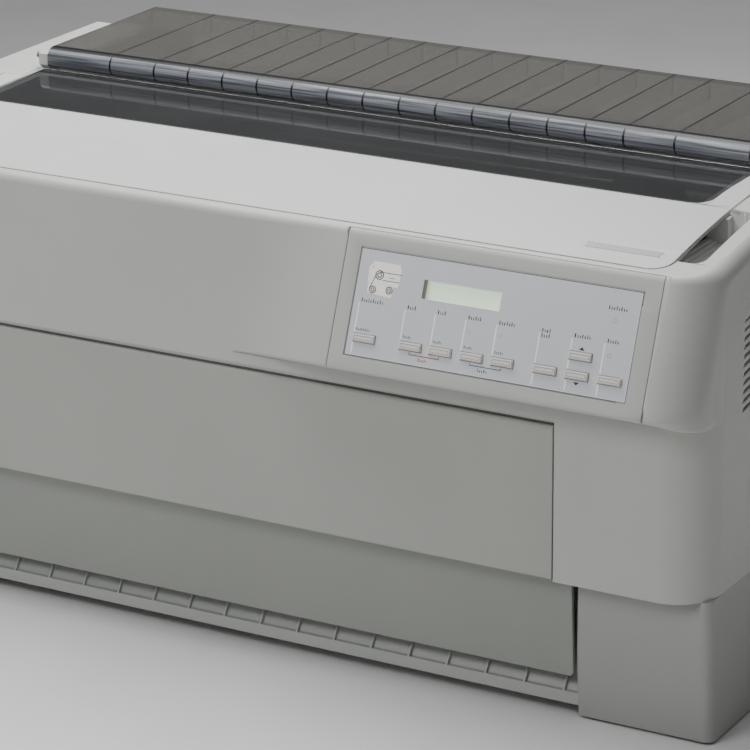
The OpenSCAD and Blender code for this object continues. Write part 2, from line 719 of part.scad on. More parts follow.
module display_window() {
    color([0.8, 0.85, 0.78]) on_panel()
        translate([lcd[0] - 3, lcd[1] - 3, -11.6])
            cube([lcd[2] - lcd[0] + 6, lcd[3] - lcd[1] + 6, 8.5]);
}
module panel_board() {
    color([0.15, 0.35, 0.2]) on_panel() difference() {
        translate([88, 4, -13.2]) cube([225, 56, 1.6]);
        for (k = keys) translate([(k[0] + k[1])/2, k[2], -14]) cylinder(h = 3, r = 1, $fn = 16);
    }
}
module indicator_leds() {
    color([0.9, 0.95, 0.9]) on_panel() for (p = leds) {
        translate([p[0], p[1], -6]) cylinder(h = 6.1, r = led_r, $fn = 24);
        translate([p[0], p[1], -11.6]) cylinder(h = 5.8, r = led_r + 0.5, $fn = 24);
    }
}
// One push key: cap, shank and the collar that keeps it behind the face
module key(n) {
    k = keys[n];
    w = k[1] - k[0];
    color([0.82, 0.82, 0.8]) on_panel() translate([k[0], k[2] - key_h/2, 0]) {
        translate([0, 0, -5.4]) linear_extrude(5.4 + key_proud - 0.5)
            square([w, key_h]);
        translate([0.5, 0.5, key_proud - 0.5]) linear_extrude(0.5) square([w - 1, key_h - 1]);
        translate([-1, -0.9, -4.8]) cube([w + 2, key_h + 1.8, 1.6]);
        translate([w/2 - 1.5, key_h/2 - 1.5, -10.4]) cube([3, 3, 5]);
    }
}
module key_tractor_select() { key(0); }
module key_font() { key(1); }
module key_pitch() { key(2); }
module key_tear_off() { key(3); }
module key_top_of_form() { key(4); }
module key_line_feed() { key(5); }
module key_micro_up() { key(6); }
module key_micro_down() { key(7); }
module key_pause() { key(8); }

/* ------------------------------------------------------ back panel parts */

switch_y = bay_y - 3.4;
// Power inlet and the frame of the power switch, one moulding
module ac_inlet() {
    color([0.1, 0.1, 0.1]) difference() {
        union() {
            box(inlet_x - 17, switch_x + 13, bay_y, bay_y + 1.6, inlet_z - 13, inlet_z + 13);
            box(inlet_x - 13.8, inlet_x + 13.8, bay_y - 20, bay_y + 0.5, inlet_z - 9.8, inlet_z + 9.8);
            box(switch_x - 10, switch_x + 10, bay_y - 15, bay_y + 0.5, inlet_z - 7, inlet_z + 7);
        }
        box(inlet_x - 12, inlet_x + 12, bay_y - 16, bay_y + 3, inlet_z - 8, inlet_z + 8);
        box(switch_x - 8.6, switch_x + 8.6, bay_y - 12, bay_y + 3, inlet_z - 5.6, inlet_z + 5.6);
        rod_z(switch_x, switch_y, inlet_z - 6.6, inlet_z + 6.6, 1 + run_gap);
    }
    color([0.8, 0.75, 0.5]) for (p = [[-7, -2], [7, -2], [0, 3]])
        box(inlet_x + p[0] - 1, inlet_x + p[0] + 1, bay_y - 17, bay_y - 3,
            inlet_z + p[1] - 2, inlet_z + p[1] + 2);
}
rocker_throw = 20;
module power_rocker() {
    color([0.2, 0.2, 0.2]) union() {
        upright(inlet_z - 5.2, inlet_z + 5.2) translate([switch_x, switch_y])
            rotate(rocker_throw/2) polygon(concat(arc(0, 0, 8.4, -10, 38, 6), [[0, 4.4]],
                arc(0, 0, 8.4, 142, 190, 6), [[-3, -4], [3, -4]]));
        rod_z(switch_x, switch_y, inlet_z - 6.5, inlet_z + 6.5, 1);
    }
}
module port_plate() {
    color([0.75, 0.76, 0.77]) difference() {
        box(ports_x - ports_w/2 - 4, ports_x + ports_w/2 + 4, half_d - wall - 1.2, half_d - wall,
            ports_z - ports_h/2 - 4, ports_z + ports_h/2 + 4);
        box(ports_x - 57.5, ports_x + 7.5, half_d - wall - 3, half_d + 1, ports_z - 6.5, ports_z + 6.5);
        box(ports_x + 21.5, ports_x + 40.5, half_d - wall - 3, half_d + 1, ports_z - 5.5, ports_z + 5.5);
    }
}
// Connector shell with a flange outside the plate
module port_shell(x0, x1, hh, wt) {
    y0 = half_d - wall - 1.2;
    difference() {
        union() {
            box(x0 + 0.1, x1 - 0.1, y0 - 8, half_d - 0.5, ports_z - hh + 0.1, ports_z + hh - 0.1);
            box(x0 - 3, x1 + 3, half_d - wall, half_d - wall + 1, ports_z - hh - 2.5, ports_z + hh + 2.5);
        }
        box(x0 + wt, x1 - wt, y0 - 6, half_d + 5, ports_z - hh + wt, ports_z + hh - wt);
    }
}
module parallel_port() {
    color([0.78, 0.78, 0.78]) union() {
        port_shell(ports_x - 57.5, ports_x + 7.5, 6.5, 1.4);
        box(ports_x - 52, ports_x + 2, half_d - wall - 8, half_d - 2, ports_z - 1.8, ports_z + 1.8);
    }
}
module serial_port() {
    color([0.78, 0.78, 0.78]) union() {
        port_shell(ports_x + 21.5, ports_x + 40.5, 5.5, 1.2);
        box(ports_x + 24, ports_x + 38, half_d - wall - 8, half_d - wall + 1, ports_z - 3, ports_z + 3);
    }
}
/* ------------------------------------------------------ frame and carriage */

frame_in = lid_hw - 3;
frame_t = 3;
frame_z0 = leg_h + pan_t;
guide_y = platen_y - 54;
guide_z = platen_z - 30;
rail_y = platen_y - 102;
rail_z = platen_z - 24;
rail_r = 5;
feed_y = platen_y;
gear_n = 32;
pinion_n = 16;
gear_pr = gear_module*gear_n/2;
pinion_pr = gear_module*pinion_n/2;
feed_z = platen_z - gear_pr - pinion_pr;
rear_shaft_y = platen_y + 2*gear_pr;
rear_shaft_z = platen_z;
front_shaft_y = front_y + 60.5;
front_shaft_z = leg_h + 59;
shaft_r = 5;
tie_r = 4;
ties = [[front_shaft_y, front_shaft_z + 27], [rear_shaft_y + 34, rear_shaft_z - 8],
    [half_d - 31, leg_h + 34]];
frame_y0 = front_y + 32.5;
frame_y1 = half_d - 23;
belt_z = platen_z - 52;
hole_z = leg_h + 24;
module frame_plate() {
    difference() {
        along_x(frame_in, frame_in + frame_t) difference() {
            polygon([[frame_y0, frame_z0], [frame_y1, frame_z0], [frame_y1, platen_z + 10],
                     [frame_y1 - 18, platen_z + 20], [platen_y - 12, platen_z + 24],
                     [platen_y - 62, platen_z + 16], [rail_y - 10, platen_z + 4],
                     [frame_y0, platen_z + 4]]);
            // openings that lighten the plate
            polygon([[rail_y - 20, hole_z], [guide_y + 22, hole_z], [guide_y + 22, belt_z - 62],
                     [rail_y - 20, belt_z - 62]]);
            polygon([[platen_y - 2, hole_z], [platen_y + 68, hole_z], [platen_y + 68, feed_z - 31],
                     [platen_y + 28, feed_z - 31], [platen_y - 2, feed_z - 51]]);
        }
        rod_x(frame_in - 1, frame_in + 9, platen_y, platen_z, 6 + run_gap);
        rod_x(frame_in - 1, frame_in + 9, guide_y, guide_z, guide_r + run_gap);
        rod_x(frame_in - 1, frame_in + 9, rail_y, rail_z, rail_r + run_gap);
        rod_x(frame_in - 1, frame_in + 9, rear_shaft_y, rear_shaft_z, shaft_r + run_gap);
        rod_x(frame_in - 1, frame_in + 9, front_shaft_y, front_shaft_z, shaft_r + run_gap);
        rod_x(frame_in - 1, frame_in + 9, feed_y, feed_z, 8);
    }
    // foot flange on the base pan
    box(frame_in - 14, frame_in + 0.5, frame_y0 + 12, frame_y1 - 8, frame_z0, frame_z0 + 2);
}
module side_frame_right() {
    color([0.72, 0.73, 0.74]) union() {
        frame_plate();
        // bent tab with the stud of the idler pulley
        box(belt_x - 8, frame_in + 0.5, belt_y - 14, belt_y + 14, belt_z - 4.9, belt_z - 1.9);
        rod_z(belt_x, belt_y, belt_z - 3, belt_z + belt_w + 5, 3);
    }
}
module side_frame_left() { color([0.72, 0.73, 0.74]) mirror([1, 0, 0]) frame_plate(); }
module tie_bars() {
    color([0.75, 0.75, 0.77]) for (t = ties) rod_x(-frame_in, frame_in, t[0], t[1], tie_r);
}
module guide_shaft() {
    color([0.82, 0.82, 0.84]) rod_x(-frame_in - frame_t, frame_in + frame_t, guide_y, guide_z, guide_r);
}
module support_rail() {
    color([0.82, 0.82, 0.84]) rod_x(-frame_in - frame_t, frame_in + frame_t, rail_y, rail_z, rail_r);
}
belt_y = platen_y - 82;
belt_r = 11;
belt_x = frame_in - 28;
belt_t = 1.4;
belt_w = 8;
belt_gap = 0.3;
head_seat = platen_z - 10;
module carriage() {
    color([0.2, 0.2, 0.21]) difference() {
        union() {
            along_x(-40, 40) polygon([[rail_y - 10, rail_z - 10], [rail_y - 10, rail_z + 10],
                [rail_y - 6, head_seat], [guide_y + 14, head_seat], [guide_y + 14, guide_z - 12],
                [guide_y - 14, guide_z - 12], [guide_y - 20, guide_z - 6]]);
            // belt clamp hanging from the underside
            box(-9, 9, belt_y - belt_r - 5, belt_y - belt_r + 3.2, belt_z - 4, belt_z + 20);
        }
        rod_x(-41, 41, guide_y, guide_z, guide_r + run_gap);
        rod_x(-41, 41, rail_y, rail_z, rail_r + run_gap);
        box(-10, 10, belt_y - belt_r - 2.2, belt_y - belt_r + 0.6, belt_z - 0.5, belt_z + belt_w + 0.5);
    }
}
module print_head() {
    color([0.3, 0.3, 0.31]) union() {
        difference() {
            box(-26, 26, guide_y - 36, guide_y + 12, head_seat, head_seat + 35);
            // cooling slots
            for (k = [0:6]) box(-24 + k*7, -20 + k*7, guide_y - 37, guide_y + 6,
                head_seat + 12, head_seat + 36);
        }
        // nose that holds the needles
        along_x(-15, 15) polygon([[guide_y + 11, head_seat + 1], [platen_y - 29, platen_z - 6],
            [platen_y - 22.8, platen_z - 4.5], [platen_y - 22.8, platen_z + 4.5],
            [platen_y - 29, platen_z + 8], [guide_y + 11, platen_z + 16]]);
    }
}
ribbon_y1 = rail_y - 26;
ribbon_y0 = ribbon_y1 - 0.3141*half_d;
roller_hw = frame_in - 60;
module ribbon_cartridge() {
    color([0.13, 0.13, 0.14]) difference() {
        union() {
            box(-frame_in - frame_t, frame_in + frame_t, ribbon_y0, ribbon_y1,
                platen_z + 4, platen_z + 26);
            // arms that guide the band past the platen
            both_sides() box(roller_hw - 1, roller_hw + 13, ribbon_y1 - 1, platen_y - 23.6,
                platen_z - 8, platen_z + 16);
            both_sides() box(roller_hw - 1, roller_hw + 13, ribbon_y1 - 14, ribbon_y1 + 6,
                platen_z - 8, platen_z + 8);
        }
        // shallow moulded panels in the lid of the cartridge
        for (x = [-190, -60, 70]) box(x, x + 120, ribbon_y0 + 8, ribbon_y1 - 8,
            platen_z + 25, platen_z + 27);
    }
}
module ribbon_band() {
    color([0.08, 0.08, 0.08]) box(-roller_hw + 1, roller_hw - 1, platen_y - 22.5, platen_y - 22.2,
        platen_z - 6.5, platen_z + 6.5);
    color([0.08, 0.08, 0.08]) both_sides() box(roller_hw - 1.5, roller_hw + 5, platen_y - 23.6,
        platen_y - 22.2, platen_z - 6.5, platen_z + 6.5);
}
module carriage_motor() {
    color([0.25, 0.25, 0.27]) difference() {
        union() {
            box(-frame_in, -frame_in + 56, belt_y - 28, belt_y + 28, belt_z - 54, belt_z - 8);
            rod_z(-belt_x, belt_y, belt_z - 10, belt_z - 6, 12);
        }
        rod_z(-belt_x, belt_y, belt_z - 20, belt_z - 4, 3 + run_gap);
    }
}
module pulley(x, stub) {
    difference() {
        union() {
            rod_z(x, belt_y, belt_z - 0.6, belt_z + belt_w + 0.6, belt_r);
            rod_z(x, belt_y, belt_z - 1.6, belt_z - 0.5, belt_r + 2.4);
            rod_z(x, belt_y, belt_z + belt_w + 0.5, belt_z + belt_w + 1.6, belt_r + 2.4);
            if (stub) rod_z(x, belt_y, belt_z - 19, belt_z + 1, 3);
        }
        if (!stub) rod_z(x, belt_y, belt_z - 3, belt_z + belt_w + 3, 3 + run_gap);
    }
}
module drive_pulley() { color([0.75, 0.75, 0.76]) pulley(-belt_x, true); }
module idler_pulley() { color([0.85, 0.85, 0.84]) pulley(belt_x, false); }
module loop_2d(x0, y0, x1, y1, r) {
    run = norm([x1 - x0, y1 - y0]);
    translate([x0, y0]) rotate(atan2(y1 - y0, x1 - x0)) union() {
        circle(r = r);
        translate([run, 0]) circle(r = r);
        translate([0, -r]) square([run, 2*r]);
    }
}
module timing_belt() {
    color([0.1, 0.1, 0.1]) upright(belt_z, belt_z + belt_w) difference() {
        loop_2d(-belt_x, belt_y, belt_x, belt_y, belt_r + belt_gap + belt_t);
        loop_2d(-belt_x, belt_y, belt_x, belt_y, belt_r + belt_gap);
    }
}

/* ------------------------------------------------------ paper feed */

// Toothed wheel outline with a tooth centred on the given angle
module gear_2d(n, phase) {
    pr = gear_module*n/2;
    ra = pr + 0.8*gear_module;
    rr = pr - 1.2*gear_module;
    polygon([for (i = [0:n - 1]) for (k = [0:3])
        let(a = phase + 360*(i + [-0.27, -0.12, 0.12, 0.27][k])/n, r = [rr, ra, ra, rr][k])
        [r*cos(a), r*sin(a)]]);
}
gear_x0 = frame_in + frame_t + 1.5;
gear_x1 = gear_x0 + 8;
pulley_x0 = gear_x1 + 3;
pulley_x1 = pulley_x0 + 9;
feed_pulley_r = 10;
module platen_roller() {
    color([0.12, 0.12, 0.12]) difference() {
        rod_x(-roller_hw, roller_hw, platen_y, platen_z, platen_r);
        rod_x(-roller_hw - 1, roller_hw + 1, platen_y, platen_z, 6);
    }
}
module platen_shaft() {
    color([0.8, 0.8, 0.82]) union() {
        rod_x(-frame_in - frame_t - 2, gear_x1 + 2, platen_y, platen_z, 6);
        along_x(gear_x0, gear_x1) translate([platen_y, platen_z]) gear_2d(gear_n, -90);
    }
}
module feed_motor() {
    color([0.25, 0.25, 0.27]) difference() {
        union() {
            box(frame_in - 46, frame_in, feed_y - 27, feed_y + 27, feed_z - 27, feed_z + 27);
            rod_x(frame_in - 1, frame_in + frame_t + 1, feed_y, feed_z, 7.8);
        }
        rod_x(frame_in - 12, frame_in + frame_t + 2, feed_y, feed_z, 4 + run_gap);
    }
}
module feed_pinion() {
    color([0.85, 0.83, 0.75]) union() {
        rod_x(frame_in - 11.5, pulley_x1 + 1, feed_y, feed_z, 4);
        along_x(gear_x0, gear_x1) translate([feed_y, feed_z])
            gear_2d(pinion_n, 90 + 180/pinion_n);
        rod_x(pulley_x0, pulley_x1, feed_y, feed_z, feed_pulley_r);
        for (x = [pulley_x0 - 1, pulley_x1 - 0.5])
            rod_x(x, x + 1.5, feed_y, feed_z, feed_pulley_r + 2.4);
    }
}
module feed_belt() {
    color([0.1, 0.1, 0.1]) along_x(pulley_x0 + 1, pulley_x1 - 1) difference() {
        loop_2d(feed_y, feed_z, front_shaft_y, front_shaft_z, feed_pulley_r + belt_gap + belt_t);
        loop_2d(feed_y, feed_z, front_shaft_y, front_shaft_z, feed_pulley_r + belt_gap);
    }
}
module rear_tractor_shaft() {
    color([0.8, 0.8, 0.82]) union() {
        rod_x(-frame_in - frame_t - 2, gear_x1 + 2, rear_shaft_y, rear_shaft_z, shaft_r);
        along_x(gear_x0, gear_x1) translate([rear_shaft_y, rear_shaft_z])
            gear_2d(gear_n, 180 + 180/gear_n);
    }
}
module front_tractor_shaft() {
    color([0.8, 0.8, 0.82]) union() {
        rod_x(-frame_in - frame_t - 2, pulley_x1 + 1, front_shaft_y, front_shaft_z, shaft_r);
        rod_x(pulley_x0, pulley_x1, front_shaft_y, front_shaft_z, feed_pulley_r);
        for (x = [pulley_x0 - 1, pulley_x1 - 0.5])
            rod_x(x, x + 1.5, front_shaft_y, front_shaft_z, feed_pulley_r + 2.4);
    }
}
tractor_x = frame_in - 115;
tractor_hw = 13;
tractor_r = 14;
pin_pitch = 12.7;
front_run = [-28, 44];
rear_run = [-3, 41];
// Pin-feed unit drawn flat: the paper runs along Y over its top face
module tractor_unit(bar, run) {
    difference() {
        along_x(-tractor_hw, tractor_hw) difference() {
            union() {
                translate([run[0], -tractor_r]) square([run[1] - run[0], 2*tractor_r]);
                for (a = run) translate([a, 0]) circle(r = tractor_r);
            }
            circle(r = shaft_r + run_gap);
            translate(bar) circle(r = tie_r);
        }
        // groove the pin belt runs in
        box(-1, 7, run[0], run[1], tractor_r - 2, tractor_r + 1);
    }
    // feed pins standing out of the paper face
    for (a = [run[0]:pin_pitch:run[1]]) rod_z(3, a, tractor_r - 2.5, tractor_r + 2.2, 1.6);
}
lid_axis_x = tractor_hw + 2.2;
lid_axis_z = tractor_r + 3.6;
lid_span = [-30, 48];
// Lugs beside a tractor that carry the pins of its lid
module lid_lugs() {
    difference() {
        for (a = [lid_span[0] - 3.6, lid_span[1] + 0.4])
            box(tractor_hw - 1, lid_axis_x + 2.4, a, a + 3.2, tractor_r - 6, lid_axis_z + 2.4);
        rod_y(lid_axis_x, lid_span[0] - 4, lid_span[1] + 4, lid_axis_z, 1 + run_gap);
    }
}
module front_tractors() {
    color([0.28, 0.3, 0.33]) both_sides() translate([tractor_x, front_shaft_y, front_shaft_z])
        rotate([90, 0, 0]) union() {
            tractor_unit([ties[0][1] - front_shaft_z, 0], front_run);
            lid_lugs();
        }
}
module rear_tractors() {
    color([0.28, 0.3, 0.33]) both_sides() translate([tractor_x, rear_shaft_y, rear_shaft_z])
        tractor_unit([ties[1][0] - rear_shaft_y, ties[1][1] - rear_shaft_z], rear_run);
}
module tractor_lid() {
    translate([tractor_x, front_shaft_y, front_shaft_z]) rotate([90, 0, 0]) union() {
        difference() {
            box(-tractor_hw, lid_axis_x, lid_span[0], lid_span[1], lid_axis_z - 1.2, lid_axis_z + 1.2);
            box(-1.2, 7.4, lid_span[0] + 6, lid_span[1] - 6, lid_axis_z - 3, lid_axis_z + 3);
        }
        rod_y(lid_axis_x, lid_span[0], lid_span[1], lid_axis_z, 1.8);
        rod_y(lid_axis_x, lid_span[0] - 3, lid_span[1] + 3, lid_axis_z, 1);
    }
}
module tractor_lid_right() { color([0.36, 0.38, 0.4]) tractor_lid(); }
module tractor_lid_left() { color([0.36, 0.38, 0.4]) mirror([1, 0, 0]) tractor_lid(); }

/* ------------------------------------------------------ electronics */

module main_board() {
    color([0.15, 0.4, 0.22]) union() {
        box(board_x0, board_x1, board_y0, board_y1, board_z, board_z + 1.6);
        // chips: left edge, front edge, width and depth on the board
        translate([board_x0, board_y0, board_z + 1.5]) union() {
            for (p = [[20, 40, 26, 26], [70, 30, 34, 20], [120, 70, 40, 14], [180, 20, 22, 22],
                      [210, 80, 30, 12], [30, 88, 40, 16]])
                translate([p[0], p[1], 0]) cube([p[2], p[3], 3.5]);
            for (k = [0:4]) translate([86 + k*22, 112, 0]) cylinder(h = 16.5, r = 6);
            translate([160, 52, 0]) cube([90, 4, 28.5]);
        }
    }
}
supply_x = -frame_in + 17;
module power_supply() {
    color([0.7, 0.71, 0.72]) difference() {
        box(supply_x, supply_x + 158, board_y0, board_y1, frame_z0, frame_z0 + 58);
        box(supply_x + 1.5, supply_x + 156.5, board_y0 + 1.5, board_y1 - 1.5,
            frame_z0 - 1, frame_z0 + 56.5);
        for (k = [0:11]) for (y = [board_y0 + 20, board_y0 + 76])
            box(supply_x + 12 + k*12.5, supply_x + 17 + k*12.5, y, y + 34,
                frame_z0 + 55, frame_z0 + 60);
    }
    color([0.5, 0.35, 0.2]) box(supply_x + 28, supply_x + 88, board_y0 + 40, board_y0 + 100,
        frame_z0, frame_z0 + 50);
}

main_case();
left_pedestal();
right_pedestal();
rubber_feet();
base_pan();
case_screws();
front_cover();
lower_panel();
paper_tray();
printer_cover();
cover_window();
tear_off_bar();
badge_plate();
rear_cover();
hinge_bosses();
panel_bezel();
panel_overlay();
display_window();
panel_board();
indicator_leds();
key_tractor_select();
key_font();
key_pitch();
key_tear_off();
key_top_of_form();
key_line_feed();
key_micro_up();
key_micro_down();
key_pause();
ac_inlet();
power_rocker();
port_plate();
parallel_port();
serial_port();
side_frame_left();
side_frame_right();
tie_bars();
guide_shaft();
support_rail();
carriage();
print_head();
ribbon_cartridge();
ribbon_band();
carriage_motor();
drive_pulley();
idler_pulley();
timing_belt();
platen_roller();
platen_shaft();
feed_motor();
feed_pinion();
feed_belt();
rear_tractor_shaft();
front_tractor_shaft();
front_tractors();
rear_tractors();
tractor_lid_left();
tractor_lid_right();
main_board();
power_supply();
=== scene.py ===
# %% [markdown]
# A wide dot matrix printer, dressed for the camera. The solids come from the
# construction model and arrive here in metres, each with its place in its own
# vertices. This file gives them finishes, adds the fine pieces that a solid
# model leaves out, and sets up the light and the camera.
# Surfaces could be modelled by hand in the viewport; here each one is worked
# out with numpy, so a size can be changed in one place and made again.

# %% The frame and the box it fills
import bmesh
import bpy
import json
import math
import numpy as np
from mathutils import Matrix, Vector


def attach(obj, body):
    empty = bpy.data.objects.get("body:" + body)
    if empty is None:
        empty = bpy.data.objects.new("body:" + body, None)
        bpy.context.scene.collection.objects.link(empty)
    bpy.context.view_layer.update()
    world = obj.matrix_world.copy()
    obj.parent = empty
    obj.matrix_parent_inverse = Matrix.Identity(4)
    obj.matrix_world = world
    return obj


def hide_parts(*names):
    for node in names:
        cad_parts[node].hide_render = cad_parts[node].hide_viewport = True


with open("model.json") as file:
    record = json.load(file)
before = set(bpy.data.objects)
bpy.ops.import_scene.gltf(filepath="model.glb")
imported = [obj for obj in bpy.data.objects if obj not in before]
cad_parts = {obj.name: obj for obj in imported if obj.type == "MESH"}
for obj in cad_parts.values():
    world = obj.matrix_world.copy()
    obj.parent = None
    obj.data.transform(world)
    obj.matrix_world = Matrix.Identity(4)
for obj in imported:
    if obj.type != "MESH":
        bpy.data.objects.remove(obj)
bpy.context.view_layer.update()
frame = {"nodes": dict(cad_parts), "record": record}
nodes = frame["nodes"]
MM = 0.001
rides = {n: body for body, names in frame["record"]["behaviour"]["bodies"].items() for n in names}

# %% [markdown]
# A studio set comes first: a long lens, some way off and a little above the
# desk, so that the uprights stay nearly upright. The camera could be aimed with
# a constraint; its matrix is written out instead, because the three directions
# (right, up, away from the view) are then plain to read.

# %% The camera
AZIMUTH, ELEVATION, ROLL = 29.584, 19.258, -0.4527
EYE = np.array([1249.90, -2176.23, 1037.55]) * MM


def look(azimuth, elevation, roll):
    """Camera axes. The view runs along (-sin a cos e, cos a cos e, -sin e); right is
    (cos a, sin a, 0); up is right crossed with the view; both then turn by the roll."""
    a, e, t = np.radians([azimuth, elevation, roll])
    view = np.array([-np.sin(a) * np.cos(e), np.cos(a) * np.cos(e), -np.sin(e)])
    right = np.array([np.cos(a), np.sin(a), 0.0])
    up = np.cross(right, view)
    return (right * np.cos(t) + up * np.sin(t), -right * np.sin(t) + up * np.cos(t), view)


camera_data = bpy.data.cameras.new("studio_camera")
camera_data.lens = 175.5
camera_data.sensor_width = 36.0
camera_data.clip_start, camera_data.clip_end = 0.05, 30.0
camera = bpy.data.objects.new("studio_camera", camera_data)
bpy.context.scene.collection.objects.link(camera)
right, up, view = look(AZIMUTH, ELEVATION, ROLL)
place = np.eye(4)
place[:3, :3] = np.stack([right, up, -view], axis=1)
place[:3, 3] = EYE
camera.matrix_world = Matrix(place.tolist())
bpy.context.scene.camera = camera
print("camera", round(float(np.linalg.norm(EYE)), 2), "m from the desk's middle")

# %% [markdown]
# The light is one wide soft box overhead, a weaker one in front and a little to
# the left, and a room that is bright above and dark low down. Soft boxes are
# area lights: the wider they are, the softer the shadow's edge. An image of a
# real room could light the scene too; two lamps and a plain slope of grey are
# easier to follow. The desk is a plain pale sheet that runs past every view.

# %% The desk, the lights and the room
def soft_box(name, at, aim, wide, deep, watts):
    """An area light at a point, turned so that its face looks at another point."""
    data = bpy.data.lights.new(name, "AREA")
    data.shape, data.size, data.size_y = "RECTANGLE", wide, deep
    data.energy = watts
    lamp = bpy.data.objects.new(name, data)
    bpy.context.scene.collection.objects.link(lamp)
    lamp.location = at
    lamp.rotation_euler = (Vector(aim) - Vector(at)).to_track_quat("-Z", "Y").to_euler()


soft_box("overhead_box", (-0.26, 0.12, 1.2), (0.0, 0.0, 0.3), 1.2, 0.9, 19.7)
soft_box("front_box", (-0.2, -1.3, 1.2), (0.0, -0.15, 0.33), 0.7, 0.5, 7.2)


def sky(zenith, horizon, strength):
    """A room that is bright overhead and darker low down: the share of the overhead
    colour is the height of the direction looked in, from 0 level to 1 straight up."""
    world = bpy.data.worlds.new("soft_room")
    world.use_nodes = True
    tree = world.node_tree
    where = tree.nodes.new("ShaderNodeTexCoord")
    split = tree.nodes.new("ShaderNodeSeparateXYZ")
    mix = tree.nodes.new("ShaderNodeMix")
    mix.data_type = "RGBA"
    mix.inputs["A"].default_value, mix.inputs["B"].default_value = horizon, zenith
    tree.links.new(where.outputs["Generated"], split.inputs["Vector"])
    tree.links.new(split.outputs["Z"], mix.inputs["Factor"])
    tree.links.new(mix.outputs["Result"], tree.nodes["Background"].inputs["Color"])
    tree.nodes["Background"].inputs["Strength"].default_value = strength
    return world


bpy.context.scene.world = sky((1.0, 1.0, 1.0, 1.0), (0.0, 0.0, 0.0, 1.0), 0.355)

DESK = 30.0
desk_top = bpy.data.meshes.new("desk")
desk_top.from_pydata([(-DESK, -DESK, 0), (DESK, -DESK, 0), (DESK, DESK, 0), (-DESK, DESK, 0)],
                     [], [(0, 1, 2, 3)])
desk = bpy.data.objects.new("desk", desk_top)
bpy.context.scene.collection.objects.link(desk)

# %% [markdown]
# Nearly every finish here is moulded plastic. What the eye reads is a very
# fine even grain from the mould, a slow drift in shade over a hand's width, and
# a small radius along every edge that catches the light. The radius could be
# cut into each solid; the shader's bevel gives it to all of them at once.

# %% Screen colours, and a material with tools
def shade(r, g, b):
    """Screen values 0 to 255 turned into the linear colour that the shader wants."""
    c = np.array([r, g, b]) / 255.0
    c = np.where(c <= 0.04045, c / 12.92, ((c + 0.055) / 1.055) ** 2.4)
    return (float(c[0]), float(c[1]), float(c[2]), 1.0)


class Finish:
    """A material with a few plain tools for joining nodes."""

    def __init__(self, name, colour, rough, metallic=0.0):
        self.material = bpy.data.materials.new(name)
        self.material.use_nodes = True
        self.tree = self.material.node_tree
        self.shader = self.tree.nodes["Principled BSDF"]
        self.colour = colour
        self.shader.inputs["Base Color"].default_value = colour
        self.shader.inputs["Roughness"].default_value = rough
        self.shader.inputs["Metallic"].default_value = metallic
        self.where = self.tree.nodes.new("ShaderNodeTexCoord").outputs["Object"]

    def noise(self, scale, detail=3.0, stretch=(1, 1, 1)):
        """Cloudy noise in the piece's own place, 0 to 1; stretch scales x, y and z."""
        n = self.tree.nodes.new("ShaderNodeTexNoise")
        n.inputs["Scale"].default_value = scale
        n.inputs["Detail"].default_value = detail
        m = self.tree.nodes.new("ShaderNodeMapping")
        m.inputs["Scale"].default_value = stretch
        self.tree.links.new(self.where, m.inputs["Vector"])
        self.tree.links.new(m.outputs["Vector"], n.inputs["Vector"])
        return n.outputs["Fac"]

    def span(self, value, low, high, a=0.3, b=0.7):
        """The value's stretch from a to b laid out evenly from low to high."""
        r = self.tree.nodes.new("ShaderNodeMapRange")
        for key, v in zip(("From Min", "From Max", "To Min", "To Max"), (a, b, low, high)):
            r.inputs[key].default_value = v
        self.tree.links.new(value, r.inputs["Value"])
        return r.outputs["Result"]

    def put(self, socket, value):
        """Sets the socket where the value is plain, and links it where it is a pattern."""
        if isinstance(value, (float, tuple)):
            socket.default_value = value
        else:
            self.tree.links.new(value, socket)

    def calc(self, kind, a, b=0.0, c=0.0):
        """One step of arithmetic, named as Blender names it, on up to three values."""
        n = self.tree.nodes.new("ShaderNodeMath")
        n.operation = kind
        for socket, value in zip(n.inputs, (a, b, c)):
            self.put(socket, value)
        return n.outputs["Value"]

    def blend(self, factor, a, b):
        """Colour a where the factor is 0 and b where it is 1."""
        n = self.tree.nodes.new("ShaderNodeMix")
        n.data_type = "RGBA"
        for key, value in (("Factor", factor), ("A", a), ("B", b)):
            self.put(n.inputs[key], value)
        return n.outputs["Result"]

    def drift(self, value, low, high):
        """The base colour times a factor that runs from low to high with the value."""
        dim = tuple(c * low for c in self.colour[:3]) + (1.0,)
        bright = tuple(min(1.0, c * high) for c in self.colour[:3]) + (1.0,)
        self.put(self.shader.inputs["Base Color"], self.blend(value, dim, bright))

    def relief(self, value, strength, depth, edge):
        """Bump from a pattern, over a normal that the bevel has rounded at edges."""
        b = self.tree.nodes.new("ShaderNodeBump")
        b.inputs["Strength"].default_value = strength
        b.inputs["Distance"].default_value = depth
        self.put(b.inputs["Height"], value)
        if edge:
            v = self.tree.nodes.new("ShaderNodeBevel")
            v.samples = 4
            v.inputs["Radius"].default_value = edge
            self.put(b.inputs["Normal"], v.outputs["Normal"])
        self.put(self.shader.inputs["Normal"], b.outputs["Normal"])


print("screen grey 128 is", round(shade(128, 128, 128)[0], 3), "in the shader")

# %% [markdown]
# Each kind of finish is a short recipe from those tools. The shell is moulded,
# the frames inside are plated steel, the shafts are ground, the window is tinted
# acrylic and the roller is rubber. A ready-made library could be loaded; recipes
# keep the few numbers that matter, such as roughness and grain, in sight.

